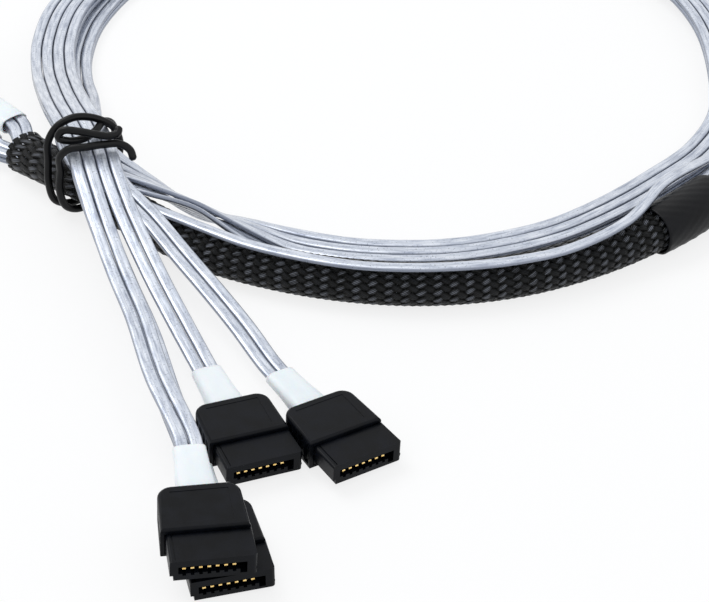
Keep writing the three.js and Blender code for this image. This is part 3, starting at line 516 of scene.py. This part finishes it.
def makeBraid():
    path = evenFrames(sharedPoints, sharedAcrosses, braid["start"], braid["end"], 0.4)
    count = braid["ribbons"]
    turns, phases = 0.0, [0.0]
    for a, b in zip(path, path[1:]):
        share = clamped((b.distance - 22) / 26)
        pitch = braid["stretched"] + (braid["pitch"] - braid["stretched"]) * share
        turns += (b.distance - a.distance) / pitch
        phases.append(turns)
    perCrossing = 3
    samples = int(turns * 2 * count * perCrossing)
    stations, cursor = [], 0
    for k in range(samples + 1):
        phase = turns * k / samples
        while cursor < len(phases) - 2 and phases[cursor + 1] < phase:
            cursor += 1
        share = (phase - phases[cursor]) / (phases[cursor + 1] - phases[cursor])
        a, b = path[cursor], path[cursor + 1]
        stations.append(Station(
            phase=phase,
            pitch=(b.distance - a.distance) / (phases[cursor + 1] - phases[cursor]),
            distance=a.distance + (b.distance - a.distance) * share,
            middle=a.middle.lerp(b.middle, share),
            across=a.across.lerp(b.across, share).normalized(),
            up=a.up.lerp(b.up, share).normalized()))
    inset = braid["wave"] + braid["thickness"] / 2
    halfWidth, halfHeight = braid["width"] / 2 - inset, braid["height"] / 2 - inset
    radius = (halfWidth + halfHeight) / 2
    vertices, faces, uvs, floats = [], [], [], []
    profile = [(-0.5, 0.25), (-0.18, 0.5), (0.18, 0.5), (0.5, 0.25), (0.5, -0.3), (-0.5, -0.3)]
    for direction in (1, -1):
        for strand in range(count):
            base, crowns = len(vertices), []
            for here in stations:
                angle = direction * 2 * pi * here.phase + 2 * pi * strand / count
                weave = direction * cos(2 * pi * count * here.phase)
                mouth = min(here.distance, 6.0) / 6.0
                flare = 0.35 * (1 - mouth) ** 2
                lift = braid["wave"] * weave + flare
                tilt = atan(2 * pi * radius / here.pitch)
                # glint shares: how near each station is to a float's crown, where the painted glint sits
                crowns.append((weave / 2 + 0.5) ** 0.7)
                for across, up in profile:
                    offset = across * braid["ribbon"]
                    swing = offset * cos(tilt) / radius
                    slide = -direction * offset * sin(tilt)
                    grow = lift + up * braid["thickness"]
                    point = ovalPoint(here, halfWidth + grow, halfHeight + grow, angle + swing)
                    along = here.across.cross(here.up)
                    vertices.append(point + along * slide + routeShift)
            size = len(profile)
            for k in range(len(stations) - 1):
                low, high = stations[k].distance * 1.15, stations[k + 1].distance * 1.15
                way = (1 - direction) / 2
                for side in range(size):
                    after = (side + 1) % size
                    faces.append((base + k * size + side, base + k * size + after,
                                  base + (k + 1) * size + after, base + (k + 1) * size + side))
                    u0, u1 = profile[side][0] * braid["ribbon"], profile[after][0] * braid["ribbon"]
                    uvs.append(((u0, low), (u1, low), (u1, high), (u0, high)))
                    # the painted glint runs down the middle of the ribbon and is weak at its sides
                    first, second = [1.0 if abs(profile[j][0]) < 0.3 else 0.2 for j in (side, after)]
                    near, far = crowns[k], crowns[k + 1]
                    floats.append(((near * first, way), (near * second, way), (far * second, way),
                                   (far * first, way)))
            for k, flip in ((0, True), (len(stations) - 1, False)):
                loop = [base + k * size + side for side in range(size)]
                uv = [(profile[side][0], stations[k].distance) for side in range(size)]
                faces.append(tuple(reversed(loop)) if flip else tuple(loop))
                uvs.append(tuple(reversed(uv)) if flip else tuple(uv))
                floats.append([(0, 0)] * size)
    piece = meshPiece("woven_braid", vertices, faces, braidMaterial, uvs)
    # this map carries the painted glint: its share and which way the strand runs
    layer = piece.data.uv_layers.new(name="floats")
    layer.data.foreach_set("uv", [value for face in floats for uv in face for value in uv])
    piece.data.uv_layers.active_index = 0
    activate(piece)
    bpy.ops.object.mode_set(mode="EDIT")
    bpy.ops.mesh.select_all(action="SELECT")
    bpy.ops.mesh.normals_make_consistent(inside=False)
    bpy.ops.object.mode_set(mode="OBJECT")
    piece.select_set(False)
    return piece


finishPiece(makeBraid(), "braided_sleeve")
print("braid woven")


# shrunk sleeves along the bundle

def shrunkTube(name, frames, outer, wall, sides, squareness, material, ripple):
    def ring(here, inset):
        halfWidth, halfHeight = outer(here)
        points = []
        for side in range(sides):
            angle = side / sides * 2 * pi
            x, z = squarish(angle, 2 / squareness, 2 / squareness)
            push = ripple(here, angle) if not inset else 0
            points.append(here.middle + here.across * (x * (halfWidth - inset + push))
                          + here.up * (z * (halfHeight - inset + push)))
        return points
    outside = [ring(here, 0) for here in frames]
    inside = [ring(here, wall) for here in reversed(frames)]
    lipStart = [p - frames[0].along * 0.12 for p in ring(frames[0], wall / 2)]
    lipEnd = [p + frames[-1].along * 0.12 for p in ring(frames[-1], wall / 2)]
    distances = [f.distance for f in frames]
    return sweepRings(name, outside + [lipEnd] + inside + [lipStart], material,
                      distances + [distances[-1]] + distances[::-1] + [distances[0]], closed=True)


closing = {"overlap": 16, "neck": 7, "wall": 0.4, "bulge": 0.7, "clear": 1.3, "imprint": 0.07}


def stationAfter(station, distance):
    step, left = 0.01 * copysign(1, distance), abs(distance)
    while left > 0:
        here = frameAt(sharedPoints, sharedAcrosses, station).middle
        station += step
        left -= (frameAt(sharedPoints, sharedAcrosses, station).middle - here).length
    return station


def makeClosingSleeve():
    start = stationAfter(braid["end"], -closing["overlap"])
    end = stationAfter(braid["end"], closing["neck"])
    frames = evenFrames(sharedPoints, sharedAcrosses, start, end, 0.5)
    edge = closing["overlap"]

    def outer(here):
        share = smoothed((here.distance - edge - 0.3) / 2.4)
        wide = braid["width"] / 2 + closing["bulge"]
        high = braid["height"] / 2 + closing["bulge"]
        neckWide = leadSize["lane"] / 2 + 1.05 + closing["clear"]
        neckHigh = 1.5 * leadSize["layer"] + 0.525 + closing["clear"]
        return wide + (neckWide - wide) * share, high + (neckHigh - high) * share

    def ripple(here, angle):
        if here.distance > edge:
            return 0.05 * unevenness(cos(angle) * 2, sin(angle) * 2, here.distance / 2)
        row = sin(here.distance / 2.8 * 2 * pi) * sin(angle * 16)
        folds = unevenness(cos(angle) * 3, sin(angle) * 3, here.distance / 3)
        return closing["imprint"] * row + 0.04 * folds

    return shrunkTube("closing_shrink", frames, outer, closing["wall"], 64, 2.25, blackShrink, ripple)


finishPiece(makeClosingSleeve(), "braid_closing_sleeve")


bundleShrink = {"start": 0.4, "length": 24, "halfWidth": 2.96, "halfHeight": 1.85, "wall": 0.25}


def makeBundleSleeve(name, side):
    start = stationAfter(0, bundleShrink["start"])
    frames = evenFrames(sharedPoints, sharedAcrosses, start,
                        stationAfter(start, bundleShrink["length"]), 0.6)
    for here in frames:
        index = int(here.station)
        share = here.station - index
        spread = sharedRoute[index][3] * (1 - share) + sharedRoute[index + 1][3] * share
        stagger = sharedRoute[index][4] * (1 - share) + sharedRoute[index + 1][4] * share
        here.middle = (here.middle + here.across * side * spread * leadSize["lane"]
                       + here.up * side * stagger * leadSize["layer"])

    def outer(here):
        waist = 0.12 * unevenness(here.distance / 7, side * 4.0, 0)
        return bundleShrink["halfWidth"] + waist, bundleShrink["halfHeight"] + waist

    def ripple(here, angle):  # the four leads press through the tube as soft ridges
        folds = unevenness(cos(angle) * 2, sin(angle) * 2, here.distance / 5 + side)
        return 0.07 * cos(angle * 2) + 0.05 * folds

    return shrunkTube(name, frames, outer, bundleShrink["wall"], 48, 2.8, whiteShrink, ripple)


finishPiece(makeBundleSleeve("bundle_shrink_left", 1), "bundle_sleeve_left")
finishPiece(makeBundleSleeve("bundle_shrink_right", -1), "bundle_sleeve_right")
print("shrunk sleeves made")


# the white sleeves at the data plugs

def makePlugSleeve(number, place):
    matrix = plugMatrix(place)
    axes = matrix.to_3x3()
    frames = []
    count = 26
    for k in range(count + 1):
        distance = sleeve["length"] * k / count
        spot = Vector((sleeve["middle"], sleeve["back"] + sleeve["length"] - distance, sleeve["height"]))
        frames.append(Station(middle=matrix @ spot - routeShift, distance=distance,
                              across=axes @ Vector((1, 0, 0)), up=axes @ Vector((0, 0, 1)),
                              along=axes @ Vector((0, -1, 0))))

    def outer(here):
        share = here.distance / sleeve["length"]
        swell = sleeve["flare"] * smoothed((share - 0.1) / 0.7)
        waist = 0.08 * unevenness(share * 3, number * 5.0, 1)
        return sleeve["half"] + swell + waist, sleeve["rise"] + swell + waist

    def ripple(here, angle):  # a ridge over each lead, and a soft fold between them
        share = here.distance / sleeve["length"]
        groove = -0.13 * exp(-(cos(angle) / 0.16) ** 2) * (1 - 0.5 * share)
        folds = unevenness(cos(angle) * 2, sin(angle) * 2 + number, here.distance / 4)
        return groove + 0.05 * folds

    piece = shrunkTube(f"plug_shrink_{number}", frames, outer, sleeve["wall"], 48, 3.0, whiteShrink,
                       ripple)
    return finishPiece(piece, f"data_plug_{number}_sleeve")


plugSleeves = [makePlugSleeve(number, place) for number, place in enumerate(plugPlaces, 1)]


# the twist tie

tie = {"diameter": 1.5, "x": -52, "y": 31, "turn": 30}
tieRoute = [
    (6.0, 9.8, 14.3), (6.1, 8.2, 15.6), (4.8, 6.6, 16.5), (1.6, 5.6, 16.8), (-1.8, 4.9, 16.9),
    (-4.4, 3.6, 16.6), (-5.9, 2.4, 14.6), (-5.8, 1.6, 11), (-6.2, 1.2, 6.5), (-5.2, 1, 2.4),
    (-3, 0.8, 0.85), (0, 0.6, 0.8), (3, 0.4, 1), (5, 0.2, 4), (6.6, 0, 8), (7.6, -0.2, 12),
    (6.8, -0.6, 15.6), (4.9, -1.2, 17.4), (2.4, -2.2, 18.5), (-0.6, -2.7, 19), (-3.8, -2.9, 18),
    (-6, -2.9, 15.2), (-6.5, -2.7, 11), (-7, -2.3, 6.5), (-6.2, -2.1, 2.4), (-3.8, -2, 0.85),
    (-0.6, -1.9, 0.8), (2.4, -2, 1), (4.6, -2.2, 4), (6.7, -2.5, 8), (7.9, -2.7, 12), (7.3, -2.9, 15.2),
    (5.3, -2, 16.7), (2.4, 0.5, 16.8), (-0.6, 1.9, 16.8), (-3.4, 1.6, 17), (-5.3, 0.9, 18),
    (-4.3, 1.1, 19.3), (-1.6, 2.6, 19.1), (1.2, 4.6, 18.6), (3.2, 5.7, 18.3), (4.9, 5.8, 18.5),
    (5.5, 4.9, 19.2),
]


def makeTie():
    turn = Matrix.Rotation(radians(tie["turn"]), 4, "Z")
    matrix = Matrix.Translation((tie["x"], tie["y"], 0)) @ turn
    points = [matrix @ Vector((across, -along, up)) for across, along, up in tieRoute]
    acrosses = [Vector((0, 0, 1))] * len(points)
    frames = evenFrames(points, acrosses, 0, len(points) - 1, 0.4)
    normal = Vector((0, 0, 1))
    rings = []
    radius = tie["diameter"] / 2
    for index, here in enumerate(frames):
        normal = (normal - here.along * normal.dot(here.along)).normalized()
        side = here.along.cross(normal)
        fromEnd = min(here.distance, frames[-1].distance - here.distance)
        size = radius * (1 - 0.35 * max(0, 1 - fromEnd / 0.4) ** 2)
        size *= 1 + 0.02 * unevenness(here.distance / 3, 7, 2)
        rings.append([here.middle + normal * cos(a) * size + side * sin(a) * size
                      for a in (k / 20 * 2 * pi for k in range(20))])
    piece = sweepRings("wire_tie", rings, tieMaterial, [f.distance for f in frames])
    return finishPiece(piece, "twist_tie")


makeTie()
print("tie made")


# modelling helpers for the moulded pieces (in millimetres, placed at the end)

def addBox(name, low, high):
    bpy.ops.object.select_all(action="DESELECT")
    middle = [(a + b) / 2 for a, b in zip(low, high)]
    bpy.ops.mesh.primitive_cube_add(size=1, location=middle)
    box = bpy.context.object
    box.name = name
    box.scale = [b - a for a, b in zip(low, high)]
    bpy.ops.object.transform_apply(location=True, rotation=True, scale=True)
    return box


def addRod(name, middle, radius, depth, axis="Z", sides=32):
    bpy.ops.object.select_all(action="DESELECT")
    turn = {"X": (0, pi / 2, 0), "Y": (pi / 2, 0, 0), "Z": (0, 0, 0)}[axis]
    bpy.ops.mesh.primitive_cylinder_add(vertices=sides, radius=radius, depth=depth, location=middle,
                                        rotation=turn)
    rod = bpy.context.object
    rod.name = name
    bpy.ops.object.transform_apply(location=True, rotation=True, scale=True)
    return rod


def applyModifier(piece, kind, **settings):
    modifier = piece.modifiers.new(kind.lower(), kind)
    for name, value in settings.items():
        setattr(modifier, name, value)
    activate(piece)
    bpy.ops.object.modifier_apply(modifier=modifier.name)


def combine(piece, others, operation):
    for other in others:
        applyModifier(piece, "BOOLEAN", operation=operation, solver="EXACT", object=other)
        bpy.data.objects.remove(other)
    return piece


def editEdges(piece, test, action):
    activate(piece)
    bpy.ops.object.mode_set(mode="EDIT")
    bpy.ops.mesh.select_mode(type="EDGE")
    bpy.ops.mesh.select_all(action="DESELECT")
    shape = bmesh.from_edit_mesh(piece.data)
    for edge in shape.edges:
        if test(edge.verts[0].co, edge.verts[1].co):
            edge.select = True
    bmesh.update_edit_mesh(piece.data)
    action()
    bpy.ops.object.mode_set(mode="OBJECT")
    piece.select_set(False)


def bevelEdges(piece, test, offset, segments):
    editEdges(piece, test, lambda: bpy.ops.mesh.bevel(offset=offset, segments=segments, affect="EDGES"))


def softenEdges(piece, width, segments=2, angle=35):
    applyModifier(piece, "BEVEL", width=width, segments=segments, limit_method="ANGLE",
                  angle_limit=radians(angle))
    bpy.ops.object.shade_smooth_by_angle(angle=radians(angle))
    applyModifier(piece, "WEIGHTED_NORMAL", weight=100, keep_sharp=True)
    piece.select_set(False)


def placeCopy(source, name, matrix, material):
    mesh = source.data.copy()
    mesh.name = name
    mesh.transform(Matrix.Scale(mm, 4) @ matrix)
    mesh.materials.clear()
    mesh.materials.append(material)
    return newObject(name, mesh)


# the data plug, modelled once and copied

housing = {"left": -6.0, "right": 7.3, "bottom": 0.75, "top": 4.55, "depth": 6.0, "stub": 1.2,
           "slotDepth": 5.0, "slotLeft": -4.7, "slotRight": 5.75, "slotFloor": 2.0, "slotTop": 3.35,
           "keyWidth": 1.05, "keyFloor": 1.2, "notch": 0.55, "notchFloor": 1.6, "pitch": 1.27}


def modelHousing():
    h = housing
    body = addBox("housingMaster", (h["left"], 0, h["bottom"]),
                  (h["right"], h["depth"] + h["stub"], h["top"]))
    corner = lambda a, b: abs(a.z - b.z) > 1 and a.y < 0.1 and b.y < 0.1 and a.x > 0
    bevelEdges(body, corner, 0.6, 5)
    lengthwise = lambda a, b: abs(a.y - b.y) > 1 and a.z > 2 and b.z > 2
    bevelEdges(body, lengthwise, 0.45, 3)
    cuts = [addBox("slot", (h["slotLeft"], -1, h["slotFloor"]),
                   (h["slotRight"], h["slotDepth"], h["slotTop"])),
            addBox("key", (h["slotRight"] - h["keyWidth"], -1, h["keyFloor"]),
                   (h["slotRight"], h["slotDepth"], h["slotFloor"] + 0.01)),
            addBox("rebate", (h["left"] - 1, -1, h["bottom"] - 1),
                   (h["left"] + 0.55, h["depth"], h["bottom"] + 0.95)),
            addBox("lineTop", (h["left"] + 0.75, 0.35, h["top"] - 0.16),
                   (h["left"] + 0.98, h["depth"] + 0.1, h["top"] + 1))]
    for k in range(7):
        middle = (k - 3) * h["pitch"]
        cuts.append(addBox("notch", (middle - h["notch"] / 2, -1, h["notchFloor"]),
                           (middle + h["notch"] / 2, h["slotDepth"], h["slotFloor"] + 0.01)))
    combine(body, cuts, "DIFFERENCE")
    rib = addRod("endRib", (h["right"] - 0.75, h["depth"] / 2 + 0.05, h["bottom"] + 1.05), 0.72,
                 h["depth"] - 0.3, "Y", 24)
    combine(body, [rib], "UNION")
    softenEdges(body, 0.09, 2)
    return body


hood = {"front": 6.0, "length": 10.1, "frontWidth": 13.9, "backWidth": 12.9, "height": 5.5,
        "middle": 0.15, "corner": 2.2, "edge": 0.6, "ribs": 4, "ribPitch": 1.95, "scallop": 1.15,
        "scallopDepth": 0.32}


def modelHood():
    h = hood
    half, back = h["frontWidth"] / 2, h["front"] + h["length"]
    body = addBox("hoodMaster", (h["middle"] - half, h["front"], 0),
                  (h["middle"] + half, back, h["height"]))
    narrow = lambda: bpy.ops.transform.resize(value=(h["backWidth"] / h["frontWidth"], 1, 1),
                                              center_override=(h["middle"], back, 0))
    editEdges(body, lambda a, b: a.y > back - 0.1 and b.y > back - 0.1, narrow)
    upright = lambda a, b: abs(a.z - b.z) > 1 and a.y > back - 0.1 and b.y > back - 0.1
    bevelEdges(body, upright, h["corner"], 6)
    topRim = lambda a, b: a.z > h["height"] - 0.1 and b.z > h["height"] - 0.1
    bevelEdges(body, topRim, h["edge"], 4)
    bevelEdges(body, lambda a, b: a.z < 0.1 and b.z < 0.1, 0.35, 2)
    entryHalf = sleeve["half"] + sleeve["flare"] + 0.3
    cuts = [addBox("seat", (housing["left"] - 0.12, h["front"] - 1, housing["bottom"] - 0.12),
                   (housing["right"] + 0.12, h["front"] + 1.5, housing["top"] + 0.12)),
            addBox("entry", (h["middle"] - entryHalf, back - 1.6, sleeve["height"] - 1.95),
                   (h["middle"] + entryHalf, back + 1, sleeve["height"] + 1.95))]
    for side in (-1, 1):
        for k in range(h["ribs"]):
            y = h["front"] + 1.35 + k * h["ribPitch"]
            share = (y - h["front"]) / h["length"]
            edge = half - (half - h["backWidth"] / 2) * share
            reach = edge + h["scallop"] - h["scallopDepth"]
            cuts.append(addRod("scallop", (h["middle"] + side * reach, y, h["height"] / 2),
                               h["scallop"], h["height"] - 1.5, "Z", 20))
    combine(body, cuts, "DIFFERENCE")
    panel = addBox("panel", (h["middle"] - 4.6, h["front"] + 1.6, h["height"] - 0.07),
                   (h["middle"] + 4.6, back - 1.5, h["height"] + 1))
    combine(body, [panel], "DIFFERENCE")
    softenEdges(body, 0.11, 2)
    return body


spring = {"width": 0.5, "thickness": 0.2, "top": 2.94, "tip": 0.52, "root": 4.7, "noseRadius": 0.24,
          "bow": 0.16}


def modelContact():
    c = spring
    strip = addBox("contactMaster", (-c["width"] / 2, c["tip"], c["top"] - c["thickness"]),
                   (c["width"] / 2, c["root"], c["top"]))
    editEdges(strip, lambda a, b: abs(a.y - b.y) > 1, lambda: bpy.ops.mesh.subdivide(number_cuts=8))
    for vertex in strip.data.vertices:  # the spring bows up to the crown that touches the other plug
        share = clamped((vertex.co.y - c["tip"]) / (c["root"] - c["tip"]))
        vertex.co.z += c["bow"] * sin(pi * share ** 0.7)
    nose = addRod("nose", (0, c["tip"], c["top"] - c["noseRadius"]), c["noseRadius"],
                  c["width"] + 0.04, "X", 16)
    combine(strip, [nose], "UNION")
    softenEdges(strip, 0.03, 1)
    return strip


housingMaster, hoodMaster, contactMaster = modelHousing(), modelHood(), modelContact()
for number, place in enumerate(plugPlaces, 1):
    matrix = plugMatrix(place)
    shell = placeCopy(housingMaster, f"plug_housing_{number}", matrix, absMaterial)
    cover = placeCopy(hoodMaster, f"plug_hood_{number}", matrix, absMaterial)
    finishPiece(shell, f"data_plug_{number}_housing")
    finishPiece(cover, f"data_plug_{number}_hood")
    for k in range(1, 8):
        seat = matrix @ Matrix.Translation(((k - 4) * housing["pitch"], 0, 0))
        contact = placeCopy(contactMaster, f"contact_{number}_{k}", seat, goldMaterial)
        finishPiece(contact, f"data_plug_{number}_contact_{k}")
for master in (housingMaster, hoodMaster, contactMaster):
    bpy.data.objects.remove(master)
print("data plugs made")


# each lead is a cord from the board-side plug to its data plug


# the board-side plug

boardPlug = {"x": -97.2891, "y": 52.5799, "z": 0.0138, "heading": (7.4, -8.6)}
nose = {"width": 20.4, "height": 6.8, "length": 11, "wall": 1.1, "cavity": 9, "stub": 2}
boardBody = {"width": 22.4, "height": 9.2, "length": 22, "shoulder": 14, "tailWidth": 16.4,
             "tailHeight": 8.6}


def boardMatrix():
    heading = Vector(boardPlug["heading"]).normalized()
    turn = Matrix.Rotation(atan2(-heading.x, heading.y), 4, "Z")
    return Matrix.Translation((boardPlug["x"], boardPlug["y"], boardPlug["z"])) @ turn


def modelNose():
    n, lift = nose, (boardBody["height"] - nose["height"]) / 2
    shell = addBox("noseMaster", (-n["width"] / 2, 0, lift),
                   (n["width"] / 2, n["length"] + n["stub"], lift + n["height"]))
    bevelEdges(shell, lambda a, b: abs(a.y - b.y) > 1, 0.6, 4)
    inner = addBox("cavity", (-n["width"] / 2 + n["wall"], -1, lift + n["wall"]),
                   (n["width"] / 2 - n["wall"], n["cavity"], lift + n["height"] - n["wall"]))
    combine(shell, [inner], "DIFFERENCE")
    slots = [addBox("springSlot", (x - 1.1, 2.2, lift + n["height"] - 0.25),
                    (x + 1.1, 6.2, lift + n["height"] + 1)) for x in (-7.6, 7.6)]
    combine(shell, slots, "DIFFERENCE")
    softenEdges(shell, 0.12, 2)
    return shell


def modelBoardBody():
    b, front = boardBody, nose["length"]
    block = addBox("bodyMaster", (-b["width"] / 2, front, 0),
                   (b["width"] / 2, front + b["shoulder"], b["height"]))
    tail = addBox("tail", (-b["tailWidth"] / 2, front + b["shoulder"] - 1, 0),
                  (b["tailWidth"] / 2, front + b["length"], b["tailHeight"]))
    combine(block, [tail], "UNION")
    lift = (b["height"] - nose["height"]) / 2
    seat = addBox("seat", (-nose["width"] / 2 - 0.15, front - 1, lift - 0.15),
                  (nose["width"] / 2 + 0.15, front + nose["stub"] + 0.3, lift + nose["height"] + 0.15))
    middle = b["height"] / 2
    entry = addBox("entry", (-6.8, front + b["length"] - 3, middle - 2.16),
                   (6.8, front + b["length"] + 1, middle + 2.16))
    combine(block, [seat, entry], "DIFFERENCE")
    grips = []
    for k in range(5):
        for side in (-1, 1):
            grips.append(addRod("grip", (side * (b["width"] / 2 + 0.75), front + 2.6 + k * 2.2,
                                         middle), 1.0, b["height"] - 2.4, "Z", 20))
    combine(block, grips, "DIFFERENCE")
    softenEdges(block, 0.5, 4)
    return block


def modelCard():
    middle = boardBody["height"] / 2
    half = nose["width"] / 2 - nose["wall"] - 0.6
    board = addBox("cardMaster", (-half, 1.2, middle - 0.5), (half, nose["cavity"] - 0.3, middle + 0.5))
    bevelEdges(board, lambda a, b: a.y < 1.3 and b.y < 1.3 and abs(a.x - b.x) > 1, 0.25, 1)
    softenEdges(board, 0.05, 1)
    pads = addBox("padMaster", (-8.5 * 0.8 - 0.225, 1.5, middle - 0.56),
                  (-8.5 * 0.8 + 0.225, 6.1, middle + 0.56))
    applyModifier(pads, "ARRAY", count=18, use_relative_offset=False, use_constant_offset=True,
                  constant_offset_displace=(0.8, 0, 0))
    softenEdges(pads, 0.03, 1)
    return board, pads


def modelLatch():
    top = (boardBody["height"] + nose["height"]) / 2 + 0.3
    over = boardBody["height"] + 0.3
    front, bend, tail = nose["length"] - 8, nose["length"] - 1, nose["length"] + 14
    thickness, half = 0.5, 4.5
    strip = addBox("latchMaster", (-half, front, top), (half, bend, top + thickness))
    riser = addBox("riser", (-half, bend - thickness, top), (half, bend, over + thickness))
    foot = addBox("foot", (-half, bend - thickness, over), (half, nose["length"] + 2, over + thickness))
    combine(strip, [riser, foot], "UNION")
    plate = addBox("plate", (-half, nose["length"] + 1.9, over), (half, tail, over + thickness))
    rise = atan2(1.9, tail - nose["length"] - 2)
    plate.data.transform(Matrix.Translation((0, nose["length"] + 1.9, over))
                         @ Matrix.Rotation(rise, 4, "X")
                         @ Matrix.Translation((0, -nose["length"] - 1.9, -over)))
    combine(strip, [plate], "UNION")
    hooks = [addBox("hook", (x - 0.8, front, top + 0.2),
                    (x + 0.8, front + 0.9, top + thickness + 0.9)) for x in (-3.7, 3.7)]
    combine(strip, hooks, "UNION")
    window = addBox("window", (-2.2, nose["length"] - 5.5, top - 1),
                    (2.2, nose["length"] - 2.6, top + 2))
    combine(strip, [window], "DIFFERENCE")
    softenEdges(strip, 0.12, 2)
    return strip


noseMaster, bodyMaster, latchMaster = modelNose(), modelBoardBody(), modelLatch()
cardMaster, padMaster = modelCard()
matrix = boardMatrix()
for master, part, material, slot in ((noseMaster, "nose", steelMaterial, "plug_steel"),
                                     (bodyMaster, "body", absMaterial, "plug_black"),
                                     (latchMaster, "latch", steelMaterial, "plug_steel"),
                                     (cardMaster, "card", boardMaterial, "card_green")):
    finishPiece(placeCopy(master, f"board_{part}", matrix, material), f"board_plug_{part}")
padsPiece = placeCopy(padMaster, "card_pads", matrix, goldMaterial)
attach(padsPiece, "root")
for master in (noseMaster, bodyMaster, latchMaster, cardMaster, padMaster):
    bpy.data.objects.remove(master)
print("board-side plug made")


# floor, world and lamps

studio = {"floor": "#ffffff", "glow": 0.8, "world": 0.7, "key": 2.6, "fill": 0.9}


def seenDirectly(tree):
    path = addNode(tree, "LightPath")
    return addNode(tree, "Math", {0: path.outputs["Is Camera Ray"], 1: path.outputs["Is Glossy Ray"]},
                   operation="MAXIMUM")


def makeStudio():
    bpy.ops.object.select_all(action="DESELECT")
    bpy.ops.mesh.primitive_plane_add(size=6, location=(0, 0, -0.0002))
    floor = bpy.context.object
    floor.name = "studio_floor"
    bpy.ops.object.transform_apply(location=True, rotation=True, scale=True)
    material = bpy.data.materials.new("seamlessPaper")
    material.use_nodes = True
    tree = material.node_tree
    tree.nodes.clear()
    paper = addNode(tree, "BsdfDiffuse", {"Color": hexLinear(studio["floor"])})
    white = addNode(tree, "Emission", {"Color": (1, 1, 1, 1), "Strength": 1.0})
    share = addNode(tree, "Math", {0: seenDirectly(tree), 1: studio["glow"]}, operation="MULTIPLY")
    mix = addNode(tree, "MixShader", {0: share, 1: paper, 2: white})
    addNode(tree, "OutputMaterial", {"Surface": mix})
    floor.data.materials.append(material)

    world = bpy.data.worlds.new("studioWorld")
    bpy.context.scene.world = world
    world.use_nodes = True
    tree = world.node_tree
    tree.nodes.clear()
    soft = addNode(tree, "Background", {"Color": (0.93, 0.96, 1, 1), "Strength": studio["world"]})
    white = addNode(tree, "Background", {"Color": (1, 1, 1, 1), "Strength": 1.0})
    mix = addNode(tree, "MixShader", {0: seenDirectly(tree), 1: soft, 2: white})
    addNode(tree, "OutputWorld", {"Surface": mix})

    for name, place, size, power, colour in (
        ("keyLamp", (-0.35, 0.25, 0.75), 0.5, studio["key"], (1, 1, 1)),
        ("fillLamp", (0.5, -0.5, 0.6), 0.7, studio["fill"], (0.95, 0.97, 1)),
    ):
        data = bpy.data.lights.new(name, "AREA")
        data.size, data.energy, data.color = size, power, colour
        lamp = newObject(name, data)
        lamp.location = place
        lamp.rotation_euler = Vector(place).to_track_quat("Z", "Y").to_euler()


makeStudio()
bpy.context.scene.view_settings.view_transform = "Standard"
print("studio made")
